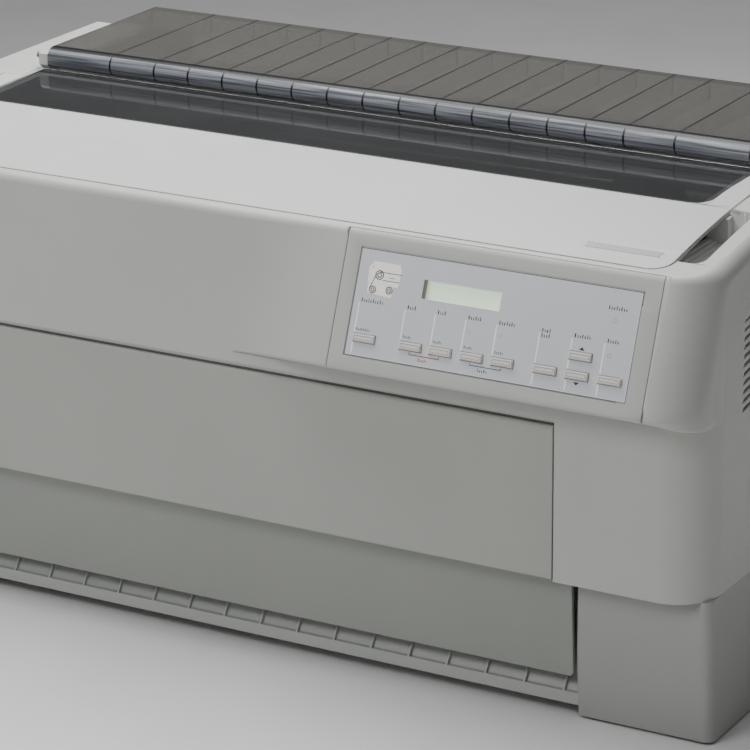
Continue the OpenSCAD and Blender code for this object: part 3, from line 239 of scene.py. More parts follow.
# %% Recipes for plastic, metal, acrylic and rubber
def moulded(name, colour, rough=0.42, grain=1400.0, relief=0.22, edge=0.0007, drift=0.025):
    """Moulded plastic: fine even grain, a slow drift in shade and in gloss."""
    f = Finish(name, colour, rough)
    f.drift(f.span(f.noise(9.0, 2.0), 0.0, 1.0), 1.0 - drift, 1.0 + drift)
    f.put(f.shader.inputs["Roughness"], f.span(f.noise(40.0, 4.0), rough - 0.05, rough + 0.05))
    f.relief(f.noise(grain, 2.0), relief, 0.00012, edge)
    return f.material


def brushed(name, colour, rough=0.3, along=(1, 1, 1), edge=0.0003):
    """Drawn or brushed metal: noise pulled long in one direction."""
    f = Finish(name, colour, rough, 1.0)
    lines = f.noise(900.0, 3.0, along)
    f.drift(f.span(lines, 0.0, 1.0), 0.86, 1.06)
    f.put(f.shader.inputs["Roughness"], f.span(lines, rough - 0.08, rough + 0.12))
    f.relief(lines, 0.12, 0.00005, edge)
    return f.material


def smoked(name, colour, rough, through, ior, wave=0.003):
    """Smoked acrylic: light passes with a grey tint, gloss on the skin."""
    f = Finish(name, colour, rough)
    f.shader.inputs["Transmission Weight"].default_value = through
    f.shader.inputs["IOR"].default_value = ior
    f.drift(f.span(f.noise(14.0, 2.0), 0.0, 1.0), 0.93, 1.07)
    f.put(f.shader.inputs["Roughness"], f.span(f.noise(60.0, 5.0), rough, rough + 0.05))
    f.relief(f.noise(35.0, 1.0), wave, 0.0002, 0.0)
    return f.material


def rubber(name, colour, rough=0.75):
    """Rubber: matt, dusty in patches."""
    f = Finish(name, colour, rough)
    f.drift(f.span(f.noise(120.0, 5.0), 0.0, 1.0), 0.8, 1.35)
    f.relief(f.noise(2500.0, 2.0), 0.3, 0.0001, 0.0004)
    return f.material


def lit(material, colour, strength):
    """Lets a material give off a little light of its own, and gives it back. Here it is
    painted light that brightens print and the display.
    """
    sockets = material.node_tree.nodes["Principled BSDF"].inputs
    sockets["Emission Color"].default_value = colour
    sockets["Emission Strength"].default_value = strength
    return material


desk_top.materials.append(moulded("desk_sheet", (0.85, 0.85, 0.85, 1.0), 0.6, 300.0, 0.05, 0.0))
print("the desk's finish:", desk_top.materials[0].name)

# %% [markdown]
# The paper lid is one bent sheet of smoked acrylic with thin ribs under it. Seen
# from above, its top is brown-grey and its round nose is blue-grey. The long light
# streaks on the nose, brighter towards the right, are painted reflections. A rib
# shows as a dark line where it meets the sheet, and the ribs themselves are nearly
# clear. Separate materials would need the mesh split by hand; one material tells
# the zones apart by where a point lies and by which way its face looks, so a line
# stays put when the lid is lifted.

# %% The lid's sheet
LID_TOP, NOSE_END, RIB_END = 363.0 * MM, 44.2 * MM, 180.0 * MM
RIB_HALF_PITCH, OUTER_RIB, ROW_END = 14.85 * MM, 232.0 * MM, 200.0 * MM


def lid_sheet(name):
    """Dark lines lie where x is within half a line of a rib: the distance from x to
    the nearest rib is the ping-pong of x over half a pitch. A rib is known by its
    face, which looks along x. Share let through is 1 less the solid share."""
    f = Finish(name, shade(150, 147, 144), 0.04)
    calc, blend = f.calc, f.blend
    at = f.tree.nodes.new("ShaderNodeSeparateXYZ")
    f.put(at.inputs["Vector"], f.where)
    x, y, z = at.outputs["X"], at.outputs["Y"], at.outputs["Z"]
    facing = f.tree.nodes.new("ShaderNodeSeparateXYZ")
    f.put(facing.inputs["Vector"],
          f.tree.nodes.new("ShaderNodeNewGeometry").outputs["True Normal"])
    on_rib = calc("GREATER_THAN", calc("ABSOLUTE", facing.outputs["X"]), 0.7)
    off_rib = calc("SUBTRACT", 1.0, on_rib)
    nose = calc("LESS_THAN", y, NOSE_END)

    half_line = calc("MULTIPLY_ADD", nose, 0.2 * MM, 0.6 * MM)
    to_rib = calc("PINGPONG", calc("ADD", x, RIB_HALF_PITCH), RIB_HALF_PITCH)
    in_row = calc("LESS_THAN", calc("ABSOLUTE", x), ROW_END)
    row = calc("MULTIPLY", calc("LESS_THAN", to_rib, half_line), in_row)
    ends = calc("COMPARE", calc("ABSOLUTE", x), OUTER_RIB, half_line)
    outside = calc("MAXIMUM", nose, calc("GREATER_THAN", z, LID_TOP - 0.8 * MM))
    lines = calc("MULTIPLY", calc("MAXIMUM", row, ends), outside)
    lines = calc("MULTIPLY", lines, off_rib)
    crease = calc("MULTIPLY", calc("GREATER_THAN", z, LID_TOP - 1.3 * MM),
                  calc("LESS_THAN", y, NOSE_END + 2.3 * MM))
    tails = calc("MULTIPLY", calc("GREATER_THAN", y, RIB_END - 1.2 * MM),
                 calc("LESS_THAN", z, LID_TOP - 1.5 * MM))
    dark = calc("MAXIMUM", calc("MAXIMUM", crease, lines), tails)

    # Painted reflection: light streaks along the nose, made brighter towards the right.
    reflection_streaks = f.span(f.noise(700.0, 4.0, (0.02, 1, 1)), 0.0, 1.0, 0.38, 0.62)
    reflection_streaks = calc("MULTIPLY", reflection_streaks, f.span(x, 0.45, 1.0, -0.35, 0.3))
    nose_tone = blend(reflection_streaks, shade(84, 88, 95), shade(180, 184, 194))
    sheet_tone = blend(on_rib, shade(134, 132, 128), shade(238, 236, 234))
    tone = blend(nose, sheet_tone, nose_tone)
    f.put(f.shader.inputs["Base Color"], blend(dark, tone, shade(26, 27, 30)))
    solid = calc("MULTIPLY", calc("MULTIPLY_ADD", nose, 0.48, 0.34), off_rib)
    solid = calc("MAXIMUM", solid, calc("MULTIPLY", dark, 0.9))
    f.put(f.shader.inputs["Transmission Weight"], calc("SUBTRACT", 1.0, solid))
    f.put(f.shader.inputs["Roughness"], calc("MULTIPLY_ADD", nose, 0.3, 0.06))
    f.shader.inputs["IOR"].default_value = 1.46
    f.relief(f.noise(35.0, 1.0), 0.01, 0.0002, 0.0)
    return f.material


print("ribs in the row:", 2 * int((ROW_END + RIB_HALF_PITCH) / (2 * RIB_HALF_PITCH)))

# %% [markdown]
# The shell is a cool light grey. The printer cover is a little paler than the case.
# The front cover, the pedestals, the lower panel and the tray get darker copies of
# the case's grey: painted shade, for the lesser light that reaches what stands low.
# Every solid came in with one material slot, so a finish is given by putting a
# material into the slot; faces could be painted one by one, but each solid is of
# one stuff.

# %% Finishes of the shell
bare = set(nodes)


def dress(material, names):
    """Puts one material on every solid in a line of names, and gives it back."""
    for name in names.split():
        nodes[name].material_slots[0].material = material
        bare.discard(name)
    return material


dress(moulded("case_plastic", shade(194, 195, 190)), "main_case panel_bezel")
# Painted shade: the next four finishes are the case's grey made darker for low parts.
dress(moulded("front_plastic_painted_shade", shade(174, 177, 170), edge=0.0014), "front_cover")
dress(moulded("pedestal_plastic_painted_shade", shade(170, 172, 167)), "left_pedestal right_pedestal")
dress(moulded("lower_panel_painted_shade", shade(155, 158, 152)), "lower_panel")
dress(moulded("tray_plastic_painted_shade", shade(182, 185, 180)), "paper_tray")
cover_plastic = dress(moulded("cover_plastic", shade(200, 201, 199)), "printer_cover")
dress(moulded("boss_plastic", shade(200, 201, 199), 0.35), "hinge_bosses")
dress(smoked("window_acrylic", shade(98, 100, 101), 0.02, 0.78, 1.16), "cover_window")
dress(lid_sheet("lid_acrylic"), "rear_cover")
print("solids still bare:", len(bare))

# %% [markdown]
# The control panel is a printed film with warm white keys, small lamps and a pale
# green display. The display's glass glows a little: a faint backlight, turned up as
# painted light to brighten it in its shaded pocket. The badge is a blank strip of
# the same film.

# %% Finishes of the control panel
dress(moulded("overlay_film", shade(214, 218, 224), 0.33, 2200.0, 0.1, 0.0002), "panel_overlay")
dress(moulded("key_plastic", shade(228, 226, 220), 0.4, 1600.0, 0.15, 0.0005),
      " ".join(n for n in nodes if n.startswith("key_")))
# Partly painted light: the display's glow makes up for the shade of its pocket.
lcd_glass_painted_glow = moulded("lcd_glass_painted_glow", shade(230, 250, 224), 0.12, 500.0, 0.02, 0.0)
dress(lit(lcd_glass_painted_glow, shade(220, 244, 216), 0.6), "display_window")
dress(moulded("lamp_lens", shade(226, 227, 218), 0.2, 800.0, 0.05, 0.0002), "indicator_leds")
dress(moulded("badge_film", shade(166, 169, 173), 0.35, 2000.0, 0.1, 0.0002), "badge_plate")
print("solids still bare:", len(bare))

# %% [markdown]
# Inside, frames and rails are plated sheet, whose fine lines run along x. Shafts
# and screws are ground and brighter, the tear-off bar is the brightest, and the
# motors are dull. The platen and the belts are rubber, the ribbon is inked cloth.

# %% Finishes of the works
dress(moulded("dark_plastic", shade(62, 62, 62), 0.5),
      "ribbon_cartridge carriage tractor_lid_left tractor_lid_right rear_tractors front_tractors")
dress(moulded("black_plastic", shade(30, 30, 31), 0.42),
      "ac_inlet power_rocker drive_pulley idler_pulley print_head")
dress(brushed("plated_steel", shade(176, 177, 178), 0.34, (1, 30, 30)),
      "base_pan side_frame_left side_frame_right support_rail port_plate")
dress(brushed("ground_steel", shade(196, 197, 198), 0.2, (1, 40, 40)),
      "guide_shaft tie_bars platen_shaft rear_tractor_shaft front_tractor_shaft "
      "parallel_port serial_port case_screws feed_pinion")
dress(brushed("tear_bar_steel", shade(214, 216, 218), 0.12, (1, 40, 40)), "tear_off_bar")
dress(brushed("motor_steel", shade(120, 121, 124), 0.4), "carriage_motor feed_motor")
dress(rubber("platen_rubber", shade(34, 34, 35)), "platen_roller")
dress(rubber("soft_rubber", shade(48, 47, 46)), "rubber_feet timing_belt feed_belt")
dress(rubber("ink_cloth", shade(22, 22, 28), 0.9), "ribbon_band")
dress(moulded("board_resin", shade(38, 92, 58), 0.35, 600.0, 0.1, 0.0002),
      "main_board panel_board power_supply")
print("solids still bare:", sorted(bare))

# %% [markdown]
# The front of the case is one moulding: a leaning fascia on the left, a control
# bulge that swells out of it, and a round corner that turns into the side. The
# solid model joins these by cutting plain shapes with each other, which leaves
# creases. On the real moulding the form flows, so a closed cutter whose inner
# wall is the flowing surface trims the solid. A sculpted patch was the other
# way, but its edge would have to be sewn to the case by hand.

# %% The crown and the brow
HALF_W, TOP = 350.0, 345.5
FRONT = np.array([-164.5, 220.5])
FOOT = np.array([-191.0, 239.5])
LEAN, BROW_R, BROW_BACK = 21.3, 7.0, 39.3
TILT = math.radians(LEAN)


def crown(y):
    """Height of the case top: level at the back, and in front of y = -5 it falls by
    16.5 mm times ((-5 - y) / 143) to the power 1.6."""
    y = np.asarray(y, float)
    return TOP - 16.5 * (np.clip(-5.0 - y, 0.0, None) / 143.0) ** 1.6


BROW_Z = float(crown(FOOT[0] + BROW_BACK)) - BROW_R
face_length = (BROW_Z - FOOT[1] + BROW_R * math.sin(TILT)) / math.cos(TILT)
BROW_Y = FOOT[0] + math.sin(TILT) * face_length + math.cos(TILT) * BROW_R
print("brow centre", round(BROW_Y, 2), round(BROW_Z, 2), "face length", round(face_length, 1))

# %% [markdown]
# A side view is a row of points in y and z. The bulge and the plain fascia get
# the same number of points, in the same order, so that any mix of the two is a
# side view as well.

# %% Side views of the fascia and of the bulge
DECK_START, BROW_START = -136.0, 100.0
DECK_ROWS, BROW_ROWS, FACE_ROWS, TURN_ROWS, UNDER_ROWS = 7, 14, 21, 5, 7
TOP_ROWS = DECK_ROWS + BROW_ROWS
WALL_END = TOP_ROWS + FACE_ROWS + TURN_ROWS + 1


def side_view(lean, foot, knee, toe, root):
    """Rows of (y, z) from the deck over the brow, down the face to the foot, round to
    the toe and back to the root. The brow is an arc from 100 degrees to 180 minus the
    lean; foot to toe is a parabola, with the share k: (1 - k) squared times the foot,
    plus 2 k (1 - k) times the knee, plus k squared times the toe."""
    y_end = BROW_Y + BROW_R * math.cos(math.radians(BROW_START))
    y_deck = np.linspace(DECK_START, y_end, DECK_ROWS + 1)[:-1]
    deck = np.stack([y_deck, crown(y_deck)], 1)
    a = np.radians(np.linspace(BROW_START, 180.0 - lean, BROW_ROWS))
    brow = np.stack([BROW_Y + BROW_R * np.cos(a), BROW_Z + BROW_R * np.sin(a)], 1)
    foot, knee, toe, root = np.array([foot, knee, toe, root])
    k = np.linspace(0.0, 1.0, FACE_ROWS + 1)[1:, None]
    face = brow[-1] * (1 - k) + foot * k
    k = np.linspace(0.0, 1.0, TURN_ROWS + 1)[1:, None]
    turn = (1 - k) ** 2 * foot + 2 * k * (1 - k) * knee + k ** 2 * toe
    k = np.linspace(0.0, 1.0, UNDER_ROWS + 1)[1:, None]
    under = toe * (1 - k) + root * k
    return np.concatenate([deck, brow, face, turn, under])


def lean_y(z):
    """The plain fascia leans: its y runs in a line from its lower edge to the brow."""
    return FRONT[0] + (BROW_Y - BROW_R - FRONT[0]) * (z - FRONT[1]) / (BROW_Z - FRONT[1])


bulge = side_view(LEAN, (-190.2, 241.6), (-190.97, 239.6), (-188.6, 238.4), (-164.5, 228.1))
plain_front = side_view(0.0, *[(lean_y(z), z) for z in (231.6, 230.6, 229.6, 228.1)])
print("rows in the side view:", len(bulge))

# %% [markdown]
# A cutter is a closed tube: a row of rings, each the surface that is wanted and
# then a few points well outside the case, with a cap at both ends. It could be
# lofted from drawn curves; rings worked out as one array are quicker to change.

# %% Tubes from rings
def ease(u):
    """Three u squared minus two u cubed, between 0 and 1."""
    u = np.clip(u, 0.0, 1.0)
    return u * u * (3.0 - 2.0 * u)


def closed_tube(name, rings):
    """A mesh from rings (station, row, xyz): quads between stations, a cap at each end."""
    s, r = rings.shape[:2]
    i, j = np.meshgrid(np.arange(s - 1), np.arange(r), indexing="ij")
    a, b = i * r + j, i * r + (j + 1) % r
    quads = np.stack([a, a + r, b + r, b], -1).reshape(-1, 4).tolist()
    caps = [list(range(r)), list(range(s * r - 1, (s - 1) * r - 1, -1))]
    mesh = bpy.data.meshes.new(name)
    mesh.from_pydata((rings.reshape(-1, 3) * MM).tolist(), [], quads + caps)
    work = bmesh.new()
    work.from_mesh(mesh)
    if work.calc_volume(signed=True) < 0:
        bmesh.ops.reverse_faces(work, faces=work.faces)
    work.to_mesh(mesh)
    work.free()
    return mesh


def along_x(x, outline):
    """A station at every x, all with one outline of (y, z), or each with its own."""
    outline = np.broadcast_to(outline, (len(x),) + np.shape(outline)[-2:])
    across = np.broadcast_to(np.reshape(x, (-1, 1, 1)), outline.shape[:2] + (1,))
    return np.concatenate([across, outline], -1)


print("ease of a quarter:", ease(0.25), "of a half:", ease(0.5))

# %% [markdown]
# The left end of the bulge is a blend: each upright slice is the fascia's side
# view mixed with the bulge's, by a share that starts and ends level. The surface
# stands a hair off the solid, because two faces in one plane confuse a cut.

# %% The left cutter
SKIN = 0.03
AHEAD, BELOW, ABOVE = -222.0, 225.0, 362.0
BLEND_FROM, BLEND_TO = -5.0, 85.4


def skinned(rows, lift=SKIN):
    """Side views moved out by the lift: deck and brow rows go up, the others forward."""
    rows = rows.copy()
    rows[:, TOP_ROWS:, 0] -= lift
    rows[:, :TOP_ROWS, 1] += lift
    return rows


def with_outside(rings):
    """Closes each station outside the case, by way of a low corner and a roof line."""
    outside = np.array([[AHEAD, BELOW], [AHEAD, ABOVE], [DECK_START, ABOVE]])
    return np.concatenate([rings, along_x(rings[:, 0, 0], outside)], 1)


def left_rings():
    """Slices at x: side view = plain times (1 - s) plus bulge times s, s = ease of the
    way from the blend's start to its end; the ring then closes outside the case."""
    x = np.linspace(BLEND_FROM - 0.6, BLEND_TO + 0.4, 64)
    s = ease((x - BLEND_FROM) / (BLEND_TO - BLEND_FROM))[:, None, None]
    rows = skinned(plain_front * (1 - s) + bulge * s)
    return with_outside(along_x(x, rows))


left_surface = left_rings()
cutters = [closed_tube("left_cutter", left_surface)]
print("left cutter faces:", len(cutters[0].polygons))

# %% [markdown]
# The right end turns into the side wall. Seen from above, a plain quarter circle
# would leave a line where the flat face ends and the arc begins; here the
# heading changes slowly at first and at last, as on a moulded corner, and the
# deck's edge comes in with it.

# %% Headings round the corner, and the side's own profile
EDGE = 11.0
TURN_STEPS, TAIL_STEPS = 40, 13


def corner_way():
    """Shares of the way at every station, 0 at the panel and 1 along the side, and the
    headings there: a right angle times (0.55 way + 0.45 ease of the way)."""
    way = np.linspace(0.0, 1.0, TURN_STEPS)
    heading = 0.55 * way + 0.45 * ease(way)
    level = np.ones(TAIL_STEPS)
    return (np.concatenate([[0.0], ease(way), level]),
            np.radians(90.0) * np.concatenate([[0.0], heading, level]))


def side_edge(n):
    """The side wall's own profile, row by row: inset from the wall and drop below the
    crown. Over the brow rows these are 11 (1 - cos e) and 11 (1 - sin e), e from 90 to
    0 degrees; deck rows lie further in, and face rows follow the wall down."""
    e = np.radians(np.linspace(90.0, 0.0, BROW_ROWS))
    inset, drop = np.zeros(n), np.zeros(n)
    inset[:DECK_ROWS] = EDGE + np.linspace(20.0, 2.0, DECK_ROWS)
    inset[DECK_ROWS:TOP_ROWS] = EDGE - EDGE * np.cos(e)
    drop[DECK_ROWS:TOP_ROWS] = EDGE - EDGE * np.sin(e)
    drop[TOP_ROWS:] = np.linspace(EDGE + 0.5, EDGE + TOP - FOOT[1], n - TOP_ROWS)
    return inset, drop


right_share, right_heading = corner_way()
print("stations round the corner and along the side:", len(right_heading))

# %% [markdown]
# With the headings known, the corner is walked step by step, once for all rows:
# a row low on the face turns a little wider than one at the brow. Then each
# point's height is mixed from the front's profile and the side's.

# %% The right cutter
PANEL_END, TAIL = 316.2, 34.0
LOW_REACH, HIGH_REACH = 33.5, 30.5


def corner_plan(inset, heading):
    """x and y of every station and row. The steps along the headings, added up, are
    scaled to each row's reach, 33.5 at the foot and 30.5 at the brow and less for
    rows set in; the tail then runs straight back along the side."""
    start, height = bulge[:, 0], bulge[:, 1]
    up = np.clip((height - FOOT[1]) / (BROW_Z - FOOT[1]), 0.0, 1.0)
    reach = LOW_REACH - (LOW_REACH - HIGH_REACH) * up
    reach[:TOP_ROWS] = np.maximum(HIGH_REACH - inset[:TOP_ROWS] * 0.9, 4.0)
    turning = heading[1:TURN_STEPS + 1]
    middle = (turning[1:] + turning[:-1]) / 2
    steps = np.cumsum(np.stack([np.cos(middle), np.sin(middle)], 1), 0)
    sweep = np.concatenate([[[0.0, 0.0]], steps]) / steps[-1, 0]
    back = np.linspace(0.0, TAIL, TAIL_STEPS + 1)[1:, None]
    side = HALF_W - inset
    x = np.concatenate([np.full((1, len(side)), PANEL_END), side - reach + reach * sweep[:, :1],
                        np.broadcast_to(side, (TAIL_STEPS, len(side)))])
    y = np.concatenate([start[None], start + reach * sweep[:, 1:], start + reach + back])
    return x, y


def right_rings(share, heading):
    """Heights mix the front's drop below the crown with the side's by the share, and
    every point moves out by the skin, which grows by 1.6 mm towards the tail's end.
    The ring closes by way of a point 45 mm out, one above it and one above the deck."""
    inset, side_drop = side_edge(len(bulge))
    front_drop = crown(bulge[:, 0]) - bulge[:, 1]
    x, y = corner_plan(inset, heading)
    share, turn = share[:, None], heading[:, None]
    z = crown(y) - (front_drop * (1 - share) + side_drop * share)
    tail = np.linspace(0.0, 1.0, TAIL_STEPS + 1)[1:]
    grown = 1.6 * ease(np.clip(tail - 0.35, 0.0, None) / 0.65)
    out = SKIN + np.concatenate([np.zeros(TURN_STEPS + 1), grown])[:, None]
    upward = np.where(np.arange(len(bulge)) < DECK_ROWS + BROW_ROWS // 2, 1.0, 0.0)
    level = out * (1 - upward)
    inner = np.stack([x + np.sin(turn) * level, y - np.cos(turn) * level, z + out * upward], -1)
    far = inner[:, -1, :].copy()
    far[:, :2] += 45.0 * np.concatenate([np.sin(turn), -np.cos(turn)], 1)
    far[:, 2] = BELOW
    high, roof = far.copy(), inner[:, 0, :].copy()
    high[:, 2] = roof[:, 2] = ABOVE
    return np.concatenate([inner, far[:, None], high[:, None], roof[:, None]], 1)


right_surface = right_rings(right_share, right_heading)
cutters.append(closed_tube("right_cutter", right_surface))
print("right cutter faces:", len(cutters[1].polygons))

# %% [markdown]
# Where the flowing surface lies further out than the solid's plain one, there is
# nothing to trim. A band of wall is laid in there first, a little proud of the
# surface, and the cutter then takes both down to it.

# %% Bands of wall behind the surface
WALL_ROWS = slice(DECK_ROWS + 4, WALL_END)


def wall_rings(rings, stations, rows, turn):
    """A band of wall behind the flowing surface: its rows moved 1.2 mm out and 3.4 mm
    in along (sin turn, -cos turn). The cutter later trims the outer face."""
    band = rings[stations][:, rows]
    way = np.stack([np.sin(turn), -np.cos(turn), np.zeros_like(turn)], -1)[stations][:, None]
    return np.concatenate([band + 1.2 * way, (band - 3.4 * way)[:, ::-1]], 1)


left_wall = wall_rings(left_surface, slice(1, -1), WALL_ROWS, np.zeros(len(left_surface)))
sunk = right_surface.copy()
tail = np.linspace(0.0, 1.0, TAIL_STEPS + 1)[1:, None]
sunk[TURN_STEPS + 1:, :, 0] -= 3.2 * ease(tail / 0.35)
right_wall = wall_rings(sunk, slice(2, TURN_STEPS + 6), WALL_ROWS, right_heading)
walls = [closed_tube("left_wall", left_wall), closed_tube("right_wall", right_wall)]
print("wall faces:", [len(m.polygons) for m in walls])

# %% [markdown]
# A solid arrives as loose triangles. A copy that is to be cut gets the points that
# lie on each other made one, and becomes a piece of its own that stands in for
# the solid. The solid itself is never changed: it holds the true sizes.

# %% Copying a solid and making a piece of it
def merged_copy(name, node):
    """The node's triangles, with the points that lie on each other made one."""
    mesh = nodes[node].data.copy()
    mesh.name = name
    work = bmesh.new()
    work.from_mesh(mesh)
    bmesh.ops.remove_doubles(work, verts=work.verts, dist=2e-6)
    work.to_mesh(mesh)
    work.free()
    return mesh


def piece(name, mesh, node, stands_in=False):
    """Puts a mesh in the scene as a piece that rides with a solid. Where it stands in
    for the solid, the solid itself isn't shown."""
    o = bpy.data.objects.new(name, mesh)
    bpy.context.scene.collection.objects.link(o)
    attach(o, rides[node])
    if stands_in:
        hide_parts(node)
    return o


case_copy = merged_copy("case_moulding", "main_case")
print("case points:", len(nodes["main_case"].data.vertices), "merged:", len(case_copy.vertices))

# %% [markdown]
# The cutters could be left in the scene as live modifiers; here each cut is made
# once and the tools are put away, so that the piece is a plain mesh.
# A shell whose faces were cut needs its shading put right: the eye must read
# the small flats of an arc as one curve and still see the true edges. Faces are
# set smooth, edges sharper than a limit are kept hard, and the corner normals
# lean towards the large faces, so the flats stay flat.

# %% Trimming and shading the case moulding
def trimmed(mesh, added, removed):
    """The mesh joined with each added solid, and then less each removed one."""
    work = bpy.data.objects.new("trim_work", mesh)
    bpy.context.scene.collection.objects.link(work)
    tools = []
    for solid, act in [(m, "UNION") for m in added] + [(m, "DIFFERENCE") for m in removed]:
        tool = bpy.data.objects.new(solid.name, solid)
        bpy.context.scene.collection.objects.link(tool)
        tools.append(tool)
        step = work.modifiers.new(solid.name, "BOOLEAN")
        step.operation, step.solver, step.object = act, "MANIFOLD", tool
    graph = bpy.context.evaluated_depsgraph_get()
    out = bpy.data.meshes.new_from_object(work.evaluated_get(graph))
    for o in tools + [work]:
        bpy.data.objects.remove(o)
    return out


def even_shading(o, limit=28.0):
    """Smooth faces, hard edges above the limit, normals weighted by face area."""
    o.data.shade_smooth()
    o.data.set_sharp_from_angle(angle=math.radians(limit))
    soft = o.modifiers.new("weighted", "WEIGHTED_NORMAL")
    soft.keep_sharp, soft.weight, soft.mode = True, 60, "FACE_AREA"


TUB_R, TUB_X, TUB_Y0, TUB_Y1 = 9.0, 331.7, -134.2, -49.8


def recess_rings(x0=300.0, floor=314.9, top=352.0):
    """Two level outlines of the tub for the fingers, at the right of the cover:
    straight at x0, quarter circles of the tub's radius at the other side."""
    a = np.radians(np.linspace(0.0, 90.0, 9))
    x = TUB_X - TUB_R
    front = np.stack([x + TUB_R * np.sin(a), TUB_Y0 + TUB_R - TUB_R * np.cos(a)], 1)
    back = np.stack([x + TUB_R * np.cos(a), TUB_Y1 - TUB_R + TUB_R * np.sin(a)], 1)
    ring = np.concatenate([[[x0, TUB_Y0]], front, back, [[x0, TUB_Y1]]])
    z = np.broadcast_to(np.array([floor, top])[:, None, None], (2, len(ring), 1))
    return np.concatenate([np.broadcast_to(ring, (2,) + ring.shape), z], -1)


cutters.append(closed_tube("recess_cutter", recess_rings()))
case_mesh = trimmed(case_copy, walls, cutters)
even_shading(piece("case_moulding", case_mesh, "main_case", stands_in=True))
print("case moulding faces:", len(case_mesh.polygons))

# %% [markdown]
# The control panel carries a printed film: thin white rules that tie each key to
# its caption, two small brackets, feed arrows and a light sticker with the paper
# path. Print could be a picture on a surface; here it is raised ink, a few
# hundredths of a millimetre thick, cut from flat outlines in the panel's own
# plane. Captions stay wordless: a row of short strokes marks their place.

# %% Flat outlines on the panel
UP = np.array([0.0, math.sin(TILT), math.cos(TILT)])
OUT = np.array([0.0, -math.cos(TILT), math.sin(TILT)])
PANEL = np.array([0.0, -187.22, 249.19])


def on_panel(u, v, w):
    """A point of the panel: u along x, v up the face, w out of it, all in mm."""
    u, v, w = np.broadcast_arrays(np.asarray(u, float), v, w)
    across = np.zeros(u.shape + (3,))
    across[..., 0] = u
    return PANEL + across + v[..., None] * UP + w[..., None] * OUT


def raised(outlines, low, high, to_world=on_panel):
    """Prisms on convex outlines (each an array of u, v pairs, turning left): the ring
    at the low level, the ring at the high level, quads between them and two caps."""
    points, faces, start = [], [], 0
    for ring in outlines:
        ring = np.asarray(ring, float)
        n = len(ring)
        points += [to_world(ring[:, 0], ring[:, 1], low), to_world(ring[:, 0], ring[:, 1], high)]
        i = np.arange(n)
        j = (i + 1) % n
        faces += np.stack([start + i, start + j, start + n + j, start + n + i], 1).tolist()
        faces += [(start + n + i).tolist(), (start + i[::-1]).tolist()]
        start += 2 * n
    mesh = bpy.data.meshes.new("raised")
    mesh.from_pydata((np.concatenate(points) * MM).tolist(), [], faces)
    return mesh


def rule(u0, v0, u1, v1):
    """A level or upright line, as the four corners of a thin rectangle."""
    return [(u0, v0), (u1, v0), (u1, v1), (u0, v1)]


INK = (0.0, 0.06)
white = [rule(u, v0, u + 0.9, v1) for u, v0, v1 in (
    (101.4, 2.0, 9.4), (101.4, 16.0, 36.0), (136.2, 15.8, 36.0), (158.9, 15.8, 36.0),
    (181.6, 15.8, 36.0), (204.4, 15.8, 36.0), (235.8, 2.0, 9.4), (235.8, 16.0, 36.0),
    (259.6, 2.0, 9.2), (259.2, 28.6, 36.0), (259.2, 16.0, 21.6), (282.6, 2.0, 9.4),
    (282.6, 16.0, 36.0))]
print("white rules:", len(white))


def ink(name, colour, rough=0.4):
    """Printing ink: a plastic with almost no grain and no rounded edge."""
    return moulded(name, colour, rough, 2600.0, 0.08, 0.0)


def printed(name, outlines, material, levels=INK, node="panel_overlay"):
    """A piece of raised ink that rides with a solid, at two levels over the panel."""
    mesh = raised(outlines, *levels)
    mesh.materials.append(material)
    piece(name, mesh, node)


WHITE = shade(253, 254, 255)
# Painted light: the white rules glow a little, though ink gives off no light.
printed("panel_rules", white, lit(ink("white_ink_painted_glow", WHITE), WHITE, 0.12))

# %% [markdown]
# Two keys that work together are tied by a small bracket, and two arrowheads show
# which way the paper feeds. Letters could be made from a font; the captions here
# are strokes of uneven width and height instead, so that they keep the rhythm and
# the colour of small print and say nothing.

# %% Brackets, feed arrows and wordless captions
def bracket(u0, u1, v, drop):
    """A flat bracket: a bar and two short ends that point up."""
    bar = v + 0.6
    return [rule(u0, v, u1, bar), rule(u0, bar, u0 + 0.6, v + drop),
            rule(u1 - 0.6, bar, u1, v + drop)]


def strokes(u, v, lengths, tall=1.5, gap=0.7):
    """A wordless caption: strokes side by side, each 0.7 of its length wide, and high
    or low by turns as letters are."""
    ends = u + np.cumsum(np.asarray(lengths) + gap)
    heights = np.resize([1.0, 0.66, 0.66, 1.0, 0.66], len(lengths)) * 1.4 * tall
    return [rule(e - n - gap, v, e - 0.3 * n - gap, v + h)
            for e, n, h in zip(ends, lengths, heights)]


